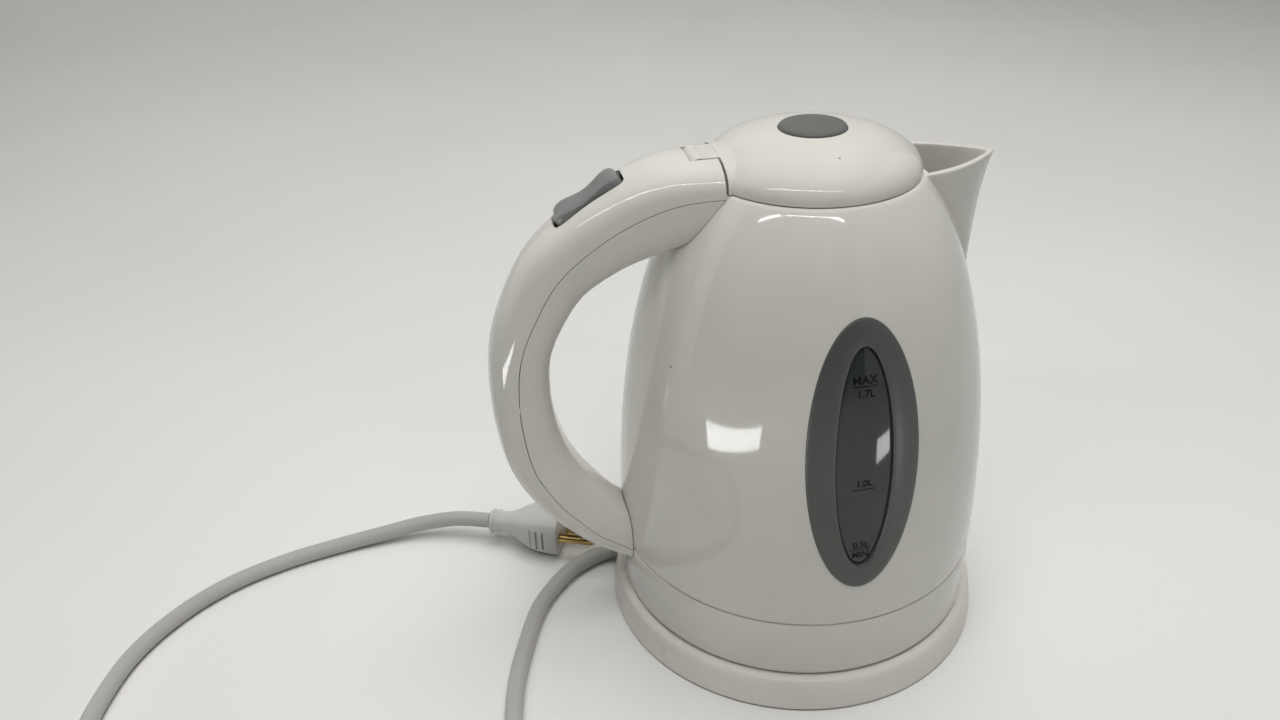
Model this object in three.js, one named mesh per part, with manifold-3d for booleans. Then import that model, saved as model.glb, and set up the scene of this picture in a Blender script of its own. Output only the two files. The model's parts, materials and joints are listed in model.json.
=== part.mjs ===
// Cordless electric kettle of 1.7 litres, standing on its power base, with its mains lead.
// Millimetres, +Z up. The origin is on the jug's axis, at the level of the table.
// +X points to the spout, -X to the handle, and the water window that faces the user is on -Y.

import * as THREE from "three";
import { mergeVertices } from "three/addons/utils/BufferGeometryUtils.js";
import Module from "manifold-3d";

const wasm = await Module();
wasm.setup();

// ---------------------------------------------------------------- driving dimensions

const GAP = 0.3; // clearance between separate pieces
const ROUND = 36; // facets round a large revolved piece
const SMALL_ROUND = 12; // facets round a small one

// Overall sizes, which many of the others follow
const BODY_RADIUS = 81.7;
const RIM_RADIUS = 44.5;
const RIM_Z = 213.5;
const BASE_HEIGHT = 15.6;
const JUG_LIFT = 0.7; // between the base's deck and the jug's bottom
const COVER_HEIGHT = 28.6;
const JUG_BOTTOM = BASE_HEIGHT + JUG_LIFT;
const SEAM_Z = JUG_BOTTOM + COVER_HEIGHT; // seam between the bottom cover and the body

// Power base
const BASE_MARGIN = 5.4; // the base stands this far out beyond the jug
const BASE_TOP_MARGIN = 1.7;
const BASE_RADIUS = BODY_RADIUS + BASE_MARGIN;
const BASE_TOP_RADIUS = BODY_RADIUS + BASE_TOP_MARGIN;
const BASE_WALL = 2.2;
const SKIRT_LIFT = 0.8; // the skirt hangs this far above the table
const HUB_RADIUS = 34;
const HUB_WALL = 2.2;
const HUB_FLOOR = 3;
const HUB_SCREW_CIRCLE = 24;
const FOOT_RADIUS = 5.5;
const FOOT_HEIGHT = 2.2;
const FOOT_INSET = 10.4;
const FOOT_CIRCLE = BASE_TOP_RADIUS - FOOT_INSET;
const NOTCH_WIDTH = 14;
const NOTCH_HEIGHT = 9.6;
const CORD_NOTCH_ANGLE = 159; // degrees from +X, where the lead leaves

// Connector between base and jug
const SOCKET_RADIUS = 13.5;
const SOCKET_COLLAR = 17;
const SOCKET_HEIGHT = 11.4; // above the base's deck
const RING_RADIUS = 8.4; // middle of the ring contact
const PIN_RADIUS = 1.8;
const CONTACT_WALL = 0.8;

// Jug
const BODY_CURVE = 2.3; // exponent of the superellipse that the side follows
const BODY_WALL = 2.5;
const COVER_WALL = 2.2;
const PLATE_RISE = 3.5; // of the heating plate above the seam
const PLATE_Z = SEAM_Z + PLATE_RISE;
const PLATE_THICKNESS = 1.2;
const SEAL_HEIGHT = 1.8;
const LEDGE_DEPTH = 4.7;
const BOSS_INSET = 11.7;
const BOSS_CIRCLE = BODY_RADIUS - BOSS_INSET;
const CONTROL_RADIUS = 20;
const JUG_CONNECTOR_RADIUS = 24.6;
const ELEMENT_RADIUS = 50;
const ELEMENT_THICKNESS = 8;
const CLAMP_WIDTH = 12.9; // of the ring that presses the heating plate up
const SCREW_HEAD_RADIUS = 3;
const SCREW_RADIUS = 1.5;
const SCREW_HEAD_HEIGHT = 1.3;
const HARNESS_RADIUS = 1.8;
const WIRE_EXIT_Z = SEAM_Z - 3.7;
const WIRE_BEND = 27.7; // from the jug's side to where the wires lie level
const STEAM_PORT_RADIUS = 3.5;
const STEAM_PORT_Z = RIM_Z - 11;

// Spout
const SPOUT_REACH = 35.5; // beyond the rim
const SPOUT_TIP = RIM_RADIUS + SPOUT_REACH;
const SPOUT_HALF_WIDTH = 21;
const SPOUT_HEIGHT = 67.5;
const SPOUT_LOW_Z = RIM_Z - SPOUT_HEIGHT;
const SPOUT_WALL = 2.6;
const FILTER_HALF_WIDTH = 14.6;
const FILTER_BORDER = 2.6;
const FILTER_THICKNESS = 1.6;
const FILTER_DROP = 35; // from the rim down to the filter's foot
const FILTER_CLEARANCE = 0.9;
const FILTER_FOOT_INSET = 4.6;
const SPOUT_POINT = 1.8; // exponent of the ogive plan

// Water windows
const WINDOW_ABOVE_SEAM = 19.9;
const WINDOW_BELOW_RIM = 34.9;
const WINDOW_Z = (SEAM_Z + WINDOW_ABOVE_SEAM + RIM_Z - WINDOW_BELOW_RIM) / 2;
const BEZEL_HALF_WIDTH = 22.9;
const BEZEL_HALF_HEIGHT = RIM_Z - WINDOW_BELOW_RIM - WINDOW_Z;
const LENS_HALF_WIDTH = 11.65;
const BEZEL_END = 10.3; // its width above and below the lens
const LENS_HALF_HEIGHT = BEZEL_HALF_HEIGHT - BEZEL_END;
const BEZEL_PROUD = 0.6;
const LENS_SUNK = 0.8;

// Handle
const HANDLE_REACH = 43.3; // the handle's seam line, beyond the body's radius
const HANDLE_WALL = 2.2;
const HANDLE_WIDEST = 0.5; // height of its farthest point, as a share of the wall's
const HANDLE_STATIONS = 20;

// Lid
const LID_SEAM = 1; // between the lid and the rim's radius
const LID_RADIUS = RIM_RADIUS - LID_SEAM;
const LID_HEIGHT = 17.2;
const LID_WALL = 2.3;
const LID_CUT = 5; // the lid's neck ends this far inside the rim's radius
const NECK_HALF_WIDTH = 21.5;
const NECK_HEIGHT = 10.6;
const TONGUE_HALF_WIDTH = 8;
const HINGE_BACK = 2.9; // the pin's distance behind the rim
const HINGE_UP = 7.6; // and above it
const BARREL_RADIUS = 3.5;
const HINGE_PIN_RADIUS = 1.1;
const HINGE_PIN_END = 2.6; // the pin reaches this far past the tongue
const CUT_GAP = 0.9; // between the lid and the handle, so that the lid swings clear
const LINER_SEAM = 6; // between the liner and the rim's radius
const LINER_RADIUS = RIM_RADIUS - LINER_SEAM;
const LINER_DEPTH = 10.5;
const LINER_WALL = 1.8;
const BUTTON_RADIUS = 13.4;
const BUTTON_PROUD = 0.5;
const BUTTON_SKIRT = 10;
const SPRING_WIRE = 0.5;
const SPRING_RADIUS = 4.6;
const SPRING_TURNS = 4;

// Rocker switch
const ROCKER_AT = 0.212; // share of the handle's length, from the rim
const ROCKER_HALF_LENGTH = 15.2;
const ROCKER_HALF_WIDTH = 6.8;
const ROCKER_PIVOT_DEPTH = 6.2;
const ROCKER_PIN_RADIUS = 1.2;

// Mains lead
const CORD_RADIUS = 3.9;
const CORD_SIDES = 8;
const CORD_STEPS = 62;
const RELIEF_ANGLE = 157;
const RELIEF_Z = 8.2;
const RELIEF_FLANGE = 4.9;
const RELIEF_LENGTH = 24;
const PLUG_START = [-143, 62, 11.5];
const PLUG_ANGLE = -22;
const PLUG_LENGTH = 38.8;

// Middle line of the lead from the strain relief to the plug, chosen by hand.
const CORD_ROUTE = [
  [-53.95, 22.9, 8.2],
  [-64, 27.0, 7.4],
  [-75, 30.6, 5.8],
  [-86, 31.8, 4.4],
  [-97, 28.6, 4.1],
  [-108, 21.4, 4.1],
  [-117, 11.6, 4.1],
  [-125, 0, 4.1],
  [-133, -20, 4.1],
  [-140, -43, 4.1],
  [-144, -68, 4.1],
  [-146, -98, 4.1],
  [-151, -128, 4.1],
  [-167, -155, 4.1],
  [-190, -174.5, 4.1],
  [-219, -184.7, 4.1],
  [-249, -184.7, 4.1],
  [-278, -174.5, 4.1],
  [-301, -155, 4.1],
  [-316, -128, 4.1],
  [-323, -98, 4.1],
  [-325.5, -70, 4.1],
  [-325.5, -42, 4.1],
  [-322, -15, 4.1],
  [-313, 12, 4.1],
  [-297, 34, 4.1],
  [-276, 51, 4.1],
  [-250, 62.5, 4.1],
  [-222, 69.3, 4.3],
  [-200, 71.8, 5.6],
  [-180, 71.9, 8.4],
  [-160.5, 68.4, 11.0],
  [-143.5, 62.2, 11.5],
];

// ---------------------------------------------------------------- materials

const finish = (color, roughness, metalness = 0) => ({ color, roughness, metalness });

const WHITE = finish(0xdedcd4, 0.22);
const BASE_WHITE = finish(0xd9d7cd, 0.32);
const CORD_WHITE = finish(0xd6d5cf, 0.5);
const INNER_WHITE = finish(0xd4d2ca, 0.4);
const BEZEL_GREY = finish(0x7d807f, 0.42);
const BUTTON_GREY = finish(0x868a8b, 0.45);
const SMOKE = finish(0x5e676b, 0.12);
const ROCKER_SMOKE = finish(0x9aa3a6, 0.2);
const SILICONE = finish(0xcfd2d0, 0.6);
const RUBBER = finish(0x3a3b3c, 0.85);
const BLACK_PLASTIC = finish(0x232425, 0.5);
const STEEL = finish(0xb9bbbd, 0.3, 1);
const ALUMINIUM = finish(0xa5a8aa, 0.45, 1);
const BRASS = finish(0xc29a52, 0.3, 1);
const LAMP_GLASS = finish(0xd9a07a, 0.1);

// ---------------------------------------------------------------- tools for solids

const degrees = THREE.MathUtils.degToRad;
const vec3 = (point) => new THREE.Vector3(...point);
const polar = (radius, angle) => [
  radius * Math.cos(degrees(angle)),
  radius * Math.sin(degrees(angle)),
];

// A solid of manifold-3d from a closed three.js geometry, facing out whichever way it was wound.
function solid(geometry) {
  const bare = geometry.index ? geometry.toNonIndexed() : geometry.clone();
  for (const name of ["normal", "uv"]) bare.deleteAttribute(name);
  const merged = mergeVertices(bare, 1e-4);
  const corners = [];
  for (let i = 0; i < merged.index.count; i += 3) {
    const [a, b, c] = [0, 1, 2].map((k) => merged.index.getX(i + k));
    if (a !== b && b !== c && c !== a) corners.push([a, b, c]);
  }
  const make = (triangles) =>
    new wasm.Manifold(
      new wasm.Mesh({
        numProp: 3,
        vertProperties: merged.attributes.position.array,
        triVerts: Uint32Array.from(triangles.flat()),
      }),
    );
  const made = make(corners);
  return made.volume() > 0 ? made : make(corners.map(([a, b, c]) => [a, c, b]));
}

const cut = (body, ...tools) => tools.reduce((left, tool) => left.subtract(tool), body);
const join = (body, ...others) => others.reduce((sum, other) => sum.add(other), body);

// A named mesh of one solid.
function piece(name, body, look) {
  const { vertProperties, triVerts } = body.getMesh();
  const geometry = new THREE.BufferGeometry();
  geometry.setAttribute("position", new THREE.BufferAttribute(vertProperties, 3));
  geometry.setIndex(new THREE.BufferAttribute(triVerts, 1));
  geometry.computeVertexNormals();
  const mesh = new THREE.Mesh(geometry, new THREE.MeshStandardMaterial(look));
  mesh.name = name;
  return mesh;
}

// Turned about the Z axis from [radius, height] points. A ring's outline closes on itself.
function turned(profile, facets = ROUND) {
  const points = profile.map(([r, z]) => new THREE.Vector2(r, z));
  const onAxis = profile[0][0] === 0 && profile.at(-1)[0] === 0;
  if (!onAxis) points.push(points[0].clone());
  return solid(new THREE.LatheGeometry(points, facets).rotateX(Math.PI / 2));
}

function cylinder(radius, low, high, [x, y] = [0, 0], facets = SMALL_ROUND) {
  const geometry = new THREE.CylinderGeometry(radius, radius, high - low, facets);
  return solid(geometry.rotateX(Math.PI / 2).translate(x, y, (low + high) / 2));
}

// A cylinder along X or Y through a point.
function crossCylinder(radius, axis, from, to, [x, y, z], facets = SMALL_ROUND) {
  const geometry = new THREE.CylinderGeometry(radius, radius, to - from, facets);
  const middle = (from + to) / 2;
  if (axis === "x") geometry.rotateZ(Math.PI / 2).translate(middle, y, z);
  else geometry.translate(x, middle, z);
  return solid(geometry);
}

function box([x0, y0, z0], [x1, y1, z1]) {
  const geometry = new THREE.BoxGeometry(x1 - x0, y1 - y0, z1 - z0);
  return solid(geometry.translate((x0 + x1) / 2, (y0 + y1) / 2, (z0 + z1) / 2));
}

// A box that is placed by a frame.
function framedBox(frame, low, high) {
  return box(low, high).transform(frame.toArray());
}

// A skin over stations of [outline, frame]. Every outline has as many points as the others.
function loft(stations) {
  const positions = [];
  const count = stations[0].outline.length;
  const corner = ({ outline, frame }, j) =>
    new THREE.Vector3(...outline[j % count], 0).applyMatrix4(frame);
  const add = (...points) => points.forEach((p) => positions.push(p.x, p.y, p.z));
  for (let i = 0; i + 1 < stations.length; i += 1) {
    for (let j = 0; j < count; j += 1) {
      const [a, b] = [corner(stations[i], j), corner(stations[i], j + 1)];
      const [d, c] = [corner(stations[i + 1], j), corner(stations[i + 1], j + 1)];
      add(a, b, c, a, c, d);
    }
  }
  for (const [station, last] of [[stations[0], false], [stations.at(-1), true]]) {
    const flat = station.outline.map(([u, v]) => new THREE.Vector2(u, v));
    const counterclockwise = !THREE.ShapeUtils.isClockWise(flat);
    for (const [i, j, k] of THREE.ShapeUtils.triangulateShape(flat, [])) {
      const turn = flat[j].clone().sub(flat[i]).cross(flat[k].clone().sub(flat[i]));
      const keeps = turn > 0 === (counterclockwise === last);
      const order = keeps ? [i, j, k] : [i, k, j];
      add(...order.map((n) => corner(station, n)));
    }
  }
  const geometry = new THREE.BufferGeometry();
  geometry.setAttribute("position", new THREE.Float32BufferAttribute(positions, 3));
  return solid(geometry);
}

function circle(radius, sides) {
  const shape = new THREE.Shape();
  for (let i = 0; i < sides; i += 1) {
    const [x, y] = polar(radius, (360 * i) / sides);
    if (i === 0) shape.moveTo(x, y);
    else shape.lineTo(x, y);
  }
  shape.closePath();
  return shape;
}

function tube(curve, radius, sides, steps) {
  const settings = { extrudePath: curve, steps, bevelEnabled: false };
  return solid(new THREE.ExtrudeGeometry(circle(radius, sides), settings));
}

// ---------------------------------------------------------------- shape of the body

// Height at which the side's curve would close on the axis, so that it passes through the rim.
const CURVE_HEIGHT =
  (RIM_Z - SEAM_Z) / (1 - (RIM_RADIUS / BODY_RADIUS) ** BODY_CURVE) ** (1 / BODY_CURVE);

function bodyRadius(z) {
  const rise = Math.max(0, (z - SEAM_Z) / CURVE_HEIGHT);
  return BODY_RADIUS * (1 - rise ** BODY_CURVE) ** (1 / BODY_CURVE);
}

// The surface's radius after an offset along its normal.
function offsetRadius(z, offset) {
  const slope = bodyRadius(z + 0.5) - bodyRadius(z - 0.5);
  return bodyRadius(z) + offset * Math.hypot(1, slope);
}

// Heights from low to high, closer together towards the top, where the side curves most.
function heights(low, high, count) {
  const share = (i) => Math.sin((Math.PI / 2) * (i / (count - 1)));
  return Array.from({ length: count }, (_, i) => low + (high - low) * share(i));
}

// The solid of revolution inside the side's surface, offset by a distance.
function bodyPlug(offset, low, high, count = 13) {
  const side = heights(low, high, count).map((z) => [offsetRadius(z, offset), z]);
  return turned([[0, low], ...side, [0, high]]);
}

// ---------------------------------------------------------------- spout

// The keel's distance from the axis: nearly upright, with a flare just below the rim.
function keelRadius(z) {
  const up = (z - SPOUT_LOW_Z) / (RIM_Z - SPOUT_LOW_Z);
  const lean = bodyRadius(SPOUT_LOW_Z) - 1 + 4.6 * up;
  return lean + (SPOUT_TIP - bodyRadius(SPOUT_LOW_Z) - 3.6) * up ** 7;
}

function spoutOutline(z, wall) {
  const up = Math.max(0.02, (z - SPOUT_LOW_Z) / (RIM_Z - SPOUT_LOW_Z));
  const halfWidth = SPOUT_HALF_WIDTH * up ** 0.8;
  const root = Math.sqrt(Math.max(1, bodyRadius(z) ** 2 - halfWidth ** 2));
  const tip = keelRadius(z) - wall * 1.1;
  const side = [];
  for (const t of [0, 0.2, 0.4, 0.6, 0.75, 0.88]) {
    const y = Math.max(0.3, halfWidth - wall) * (1 - t ** SPOUT_POINT);
    side.push([root + (tip - root) * t, y]);
  }
  const inside = [bodyRadius(z) * 0.55, side[0][1]];
  const half = [inside, ...side];
  const mirrored = half.map(([x, y]) => [x, -y]).reverse();
  return [...half, [tip, 0], ...mirrored];
}

function spoutSolid(wall, top) {
  const low = SPOUT_LOW_Z + wall * 2;
  const levels = heights(low, RIM_Z, 7);
  if (top > RIM_Z) levels.push(top);
  const stations = levels.map((z) => ({
    outline: spoutOutline(Math.min(z, RIM_Z), wall),
    frame: new THREE.Matrix4().makeTranslation(0, 0, z),
  }));
  return loft(stations);
}

// ---------------------------------------------------------------- handle

// The seam line between the handle's two halves: share of the reach, counted outwards from the
// rim above the widest point and from the jug's side below it,
// share of the height from the body's seam to the rim, and there the half-width,
// the outer half's height and the inner half's depth.
const HANDLE_LINE = [
  [-0.1, 0.993, 22, 12.2, 21],
  [0.155, 0.984, 19.5, 13.2, 21],
  [0.342, 0.953, 17.2, 13.6, 20],
  [0.54, 0.902, 16, 13.6, 17.5],
  [0.752, 0.819, 15.2, 13.4, 14.8],
  [0.888, 0.715, 15, 12.6, 13.4],
  [0.969, 0.623, 15, 11.6, 13.4],
  [1, 0.517, 15, 11, 14],
  [0.9889, 0.404, 15, 10.8, 15],
  [0.907, 0.286, 15, 10.6, 16.4],
  [0.7025, 0.181, 15, 10.4, 16],
  [0.5148, 0.116, 15, 9.8, 15.6],
  [0.3066, 0.056, 15, 9, 15],
  [-0.0969, -0.022, 14.6, 7.6, 14],
];

const seamCurve = new THREE.CatmullRomCurve3(
  HANDLE_LINE.map(([out, up]) => {
    const start = up > HANDLE_WIDEST ? RIM_RADIUS : BODY_RADIUS;
    const x = start + out * (BODY_RADIUS + HANDLE_REACH - start);
    return new THREE.Vector3(-x, 0, SEAM_Z + up * (RIM_Z - SEAM_Z));
  }),
);
const sizeCurve = new THREE.CatmullRomCurve3(
  HANDLE_LINE.map(([, , halfWidth, height, depth]) => vec3([halfWidth, height, depth])),
);

// A frame on the seam line: X across the handle, Y outwards, Z along it towards the rim.
function handleFrame(t) {
  const along = seamCurve.getTangent(t).negate();
  const across = new THREE.Vector3(0, 1, 0);
  const outwards = new THREE.Vector3().crossVectors(along, across);
  const frame = new THREE.Matrix4().makeBasis(across, outwards, along);
  return frame.setPosition(seamCurve.getPoint(t));
}

// Half a rounded section, from +u to -u. A power below 1 makes it boxier than an ellipse.
function halfSection(halfWidth, height, power, count) {
  const points = [];
  for (let i = 0; i <= count; i += 1) {
    const angle = (Math.PI * i) / count;
    const u = Math.sign(Math.cos(angle)) * Math.abs(Math.cos(angle)) ** power;
    points.push([halfWidth * u, height * Math.sin(angle) ** power]);
  }
  return points;
}

function handleStations(outlineAt) {
  return Array.from({ length: HANDLE_STATIONS + 1 }, (_, i) => {
    const t = i / HANDLE_STATIONS;
    return { outline: outlineAt(sizeCurve.getPoint(t)), frame: handleFrame(t) };
  });
}

// The channel of one half. Side is 1 for the outer half and -1 for the inner one.
function handleHalf(side, wall) {
  const outline = ({ x: halfWidth, y: height, z: depth }) => {
    const reach = side > 0 ? height : depth;
    const power = side > 0 ? 0.8 : 0.55;
    const place = ([u, v]) => [u, side * (v + GAP / 2)];
    const skin = halfSection(halfWidth, reach - GAP / 2, power, 10).map(place);
    if (wall === 0) return skin;
    const inner = halfSection(halfWidth - wall, reach - wall - GAP / 2, power, 8);
    return [...skin, ...inner.reverse().map(place)];
  };
  return loft(handleStations(outline));
}

// What the handle must stay clear of: the jug, the lid in front of its cut, and the base.
function handleClearance() {
  const lidCut = -(RIM_RADIUS - LID_CUT) - CUT_GAP;
  const bodySide = bodyPlug(GAP, SEAM_Z, RIM_Z + GAP);
  const coverSide = cylinder(BODY_RADIUS + GAP, 0, SEAM_Z + 1, [0, 0], ROUND);
  const front = box([lidCut, -60, RIM_Z - 30], [40, 60, RIM_Z + 40]);
  return join(bodySide, coverSide, front);
}

const hingeX = -(RIM_RADIUS + HINGE_BACK);
const hingeZ = RIM_Z + HINGE_UP;

function hingeBosses() {
  const outer = TONGUE_HALF_WIDTH + 4.4;
  const low = [hingeX - 4.4, -outer, RIM_Z + GAP];
  const high = [hingeX + 4.2, outer, hingeZ + 6];
  return box(low, high).intersect(handleHalf(1, 0));
}

function makeHandleOuter() {
  const sweep = BARREL_RADIUS + 0.6;
  const across = TONGUE_HALF_WIDTH + GAP + 0.1;
  const tongueSlot = box([hingeX - sweep, -across, RIM_Z - 8], [0, across, RIM_Z + 20]);
  const holeEnd = TONGUE_HALF_WIDTH + HINGE_PIN_END + GAP;
  const hinge = [hingeX, 0, hingeZ];
  const pinHole = crossCylinder(HINGE_PIN_RADIUS + GAP, "y", -holeEnd, holeEnd, hinge);
  const shell = join(handleHalf(1, HANDLE_WALL), hingeBosses());
  const trimmed = cut(shell, handleClearance(), tongueSlot, pinHole, rockerSlot());
  return piece("handle_outer", trimmed, WHITE);
}

function makeHandleInner() {
  const shell = handleHalf(-1, HANDLE_WALL);
  return piece("handle_inner", cut(shell, handleClearance()), WHITE);
}

function makeHingePin() {
  const half = TONGUE_HALF_WIDTH + HINGE_PIN_END;
  const pin = crossCylinder(HINGE_PIN_RADIUS, "y", -half, half, [hingeX, 0, hingeZ]);
  return piece("lid_hinge_pin", pin, STEEL);
}

// ---------------------------------------------------------------- rocker switch in the handle

const rockerCrest = sizeCurve.getPoint(ROCKER_AT).y;
const rockerFrame = handleFrame(ROCKER_AT);
const pivotDepth = rockerCrest - ROCKER_PIVOT_DEPTH;

function rockerSlot() {
  const width = ROCKER_HALF_WIDTH + 0.4;
  const length = ROCKER_HALF_LENGTH + 1.2;
  const low = [-width, 1, -length];
  return framedBox(rockerFrame, low, [width, rockerCrest + 8, length]);
}

// A cylinder across the handle, at a height in the rocker's frame.
function rockerCross(radius, half, height) {
  const bar = new THREE.CylinderGeometry(radius, radius, 2 * half, SMALL_ROUND);
  bar.rotateZ(Math.PI / 2).translate(0, height, 0).applyMatrix4(rockerFrame);
  return solid(bar);
}

// The rocker's side view: a saddle with raised ends, and a lug that hangs on the pivot.
function makeRocker() {
  const [l, top] = [ROCKER_HALF_LENGTH, rockerCrest];
  const side = [
    [-l, top - 2.6],
    [-l + 0.9, top + 0.9],
    [-l + 4, top + 2.0],
    [-l * 0.5, top + 1.5],
    [0, top + 0.7],
    [l * 0.5, top + 1.5],
    [l - 4, top + 2.0],
    [l - 0.9, top + 0.9],
    [l, top - 2.6],
    [5.4, top - 3.2],
    [2.8, top - 8.4],
    [-2.8, top - 8.4],
    [-5.4, top - 3.2],
  ];
  const shape = new THREE.Shape(side.map(([z, y]) => new THREE.Vector2(z, y)));
  const width = 2 * ROCKER_HALF_WIDTH;
  const bar = new THREE.ExtrudeGeometry(shape, { depth: width, bevelEnabled: false });
  bar.translate(0, 0, -ROCKER_HALF_WIDTH).rotateY(-Math.PI / 2).applyMatrix4(rockerFrame);
  const bore = rockerCross(ROCKER_PIN_RADIUS + GAP, 20, pivotDepth);
  return piece("rocker_button", cut(solid(bar), bore), ROCKER_SMOKE);
}

function makeRockerPin() {
  const half = ROCKER_HALF_WIDTH + 2;
  return piece("rocker_pin", rockerCross(ROCKER_PIN_RADIUS, half, pivotDepth), STEEL);
}

// The switch under the rocker: a case with two ears that carry the pivot pin.
function makeSwitchHousing() {
  const inner = ROCKER_HALF_WIDTH + 0.7;
  const outer = inner + 1.3;
  const body = framedBox(rockerFrame, [-outer, -9, -12], [outer, 0.2, 12]);
  const ears = [-1, 1].map((side) => {
    const [a, b] = [side * inner, side * outer].sort((p, q) => p - q);
    return framedBox(rockerFrame, [a, 0, -3.2], [b, pivotDepth + 1.9, 3.2]);
  });
  const bore = rockerCross(ROCKER_PIN_RADIUS + GAP, 20, pivotDepth);
  return piece("switch_housing", cut(join(body, ...ears), bore), BLACK_PLASTIC);
}

function makeBimetalDisc() {
  const disc = new THREE.CylinderGeometry(5.6, 5.6, 0.6, SMALL_ROUND);
  disc.rotateX(Math.PI / 2).translate(0, -4.5, 12.9).applyMatrix4(rockerFrame);
  return piece("bimetal_disc", solid(disc), BRASS);
}

function makePilotLamp() {
  const lamp = new THREE.CapsuleGeometry(1.5, 5, 3, 8);
  lamp.rotateX(Math.PI / 2).translate(0, 2.2, -8.6).applyMatrix4(rockerFrame);
  return piece("pilot_lamp", solid(lamp), LAMP_GLASS);
}

// Switch wires: down inside the handle, then under the heating plate to the control.
function makeHarness() {
  const stops = [0.34, 0.42, 0.5, 0.58, 0.66, 0.74, 0.82, 0.88, 0.93];
  const points = stops.map((t) => {
    const depth = t < 0.85 ? 5.5 : 5.5 - 60 * (t - 0.84);
    return new THREE.Vector3(0, -depth, 0).applyMatrix4(handleFrame(t));
  });
  points.push(vec3([-BODY_RADIUS - 1, 0, WIRE_EXIT_Z]));
  points.push(vec3([-BODY_RADIUS + 7, 0, WIRE_EXIT_Z - 1]));
  points.push(vec3([-BODY_RADIUS + WIRE_BEND, 0, WIRE_EXIT_Z - 6]));
  points.push(vec3([-CONTROL_RADIUS - 2, 0, WIRE_EXIT_Z - 6]));
  const curve = new THREE.CatmullRomCurve3(points);
  return piece("switch_harness", tube(curve, HARNESS_RADIUS, 6, 24), CORD_WHITE);
}

// ---------------------------------------------------------------- jug


function ellipseRod(halfWidth, halfHeight, side) {
  const shape = new THREE.Shape();
  shape.absellipse(0, 0, halfWidth, halfHeight, 0, 2 * Math.PI);
  const settings = { depth: BODY_RADIUS + 30, bevelEnabled: false, curveSegments: 16 };
  const rod = new THREE.ExtrudeGeometry(shape, settings);
  return solid(rod.rotateX((side * Math.PI) / 2).translate(0, 0, WINDOW_Z));
}

// A patch of the side's surface between two offsets, inside one ellipse.
function wallPatch(outerOffset, innerOffset, halfWidth, halfHeight, side) {
  const [low, high] = [WINDOW_Z - BEZEL_HALF_HEIGHT - 6, WINDOW_Z + BEZEL_HALF_HEIGHT + 6];
  const band = cut(bodyPlug(outerOffset, low, high, 10), bodyPlug(innerOffset, low, high, 10));
  return band.intersect(ellipseRod(halfWidth, halfHeight, side));
}

function makeBodyShell() {
  const outer = join(bodyPlug(0, SEAM_Z + GAP / 2, RIM_Z, 12), spoutSolid(0, RIM_Z));
  const room = bodyPlug(-BODY_WALL, SEAM_Z, RIM_Z, 10);
  const mouth = cylinder(offsetRadius(RIM_Z, -BODY_WALL), RIM_Z - 2, RIM_Z + 2, [0, 0], ROUND);
  const ledgeLow = PLATE_Z + PLATE_THICKNESS + SEAL_HEIGHT + 2 * GAP;
  const insideRadius = BODY_RADIUS - BODY_WALL;
  const ledge = turned([
    [insideRadius - LEDGE_DEPTH, ledgeLow],
    [insideRadius + 1, ledgeLow],
    [insideRadius + 1, ledgeLow + 4],
    [insideRadius - LEDGE_DEPTH, ledgeLow + 2],
  ]);
  const hole = (side) => ellipseRod(BEZEL_HALF_WIDTH + GAP, BEZEL_HALF_HEIGHT + GAP, side);
  const port = crossCylinder(STEAM_PORT_RADIUS, "x", -70, -35, [0, 0, STEAM_PORT_Z]);
  const hollow = cut(outer, room, mouth, spoutSolid(SPOUT_WALL, RIM_Z + 2));
  return piece("body_shell", cut(join(hollow, ledge), hole(1), hole(-1), port), WHITE);
}

function makeWindow(name, side) {
  const frame = cut(
    wallPatch(BEZEL_PROUD, -BODY_WALL + GAP, BEZEL_HALF_WIDTH, BEZEL_HALF_HEIGHT, side),
    ellipseRod(LENS_HALF_WIDTH, LENS_HALF_HEIGHT, side),
  );
  const pane = [LENS_HALF_WIDTH - GAP, LENS_HALF_HEIGHT - GAP];
  const flange = [BEZEL_HALF_WIDTH - 1.4, BEZEL_HALF_HEIGHT - 1.4];
  const lens = join(
    wallPatch(-LENS_SUNK, -BODY_WALL - 0.4, ...pane, side),
    wallPatch(-BODY_WALL, -BODY_WALL - 1.2, ...flange, side),
  );
  return [piece(`${name}_bezel`, frame, BEZEL_GREY), piece(`${name}_lens`, lens, SMOKE)];
}

function makeBottomCover() {
  const inner = BODY_RADIUS - COVER_WALL;
  const floor = JUG_BOTTOM + COVER_WALL;
  const top = SEAM_Z - GAP / 2;
  const shell = turned([
    [JUG_CONNECTOR_RADIUS + GAP, JUG_BOTTOM],
    [BODY_RADIUS - 1.4, JUG_BOTTOM],
    [BODY_RADIUS, JUG_BOTTOM + 1.4],
    [BODY_RADIUS, top],
    [inner, top],
    [inner, floor],
    [JUG_CONNECTOR_RADIUS + GAP, floor],
  ]);
  const [bore, well] = [SCREW_RADIUS + 0.4, SCREW_HEAD_RADIUS + 0.4];
  const holes = coverScrewPlaces().map((place) => cylinder(bore, 0, 30, place));
  const heads = coverScrewPlaces().map((p) => cylinder(well, 0, JUG_BOTTOM + 1.7, p));
  const wireSpan = [-BODY_RADIUS - HANDLE_REACH / 2, -BODY_RADIUS + 12];
  const wireHole = crossCylinder(HARNESS_RADIUS + 1, "x", ...wireSpan, [0, 0, WIRE_EXIT_Z]);
  return piece("bottom_cover", cut(shell, ...holes, ...heads, wireHole), WHITE);
}

const coverScrewPlaces = () => [30, 150, 270].map((angle) => polar(BOSS_CIRCLE, angle));

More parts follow.
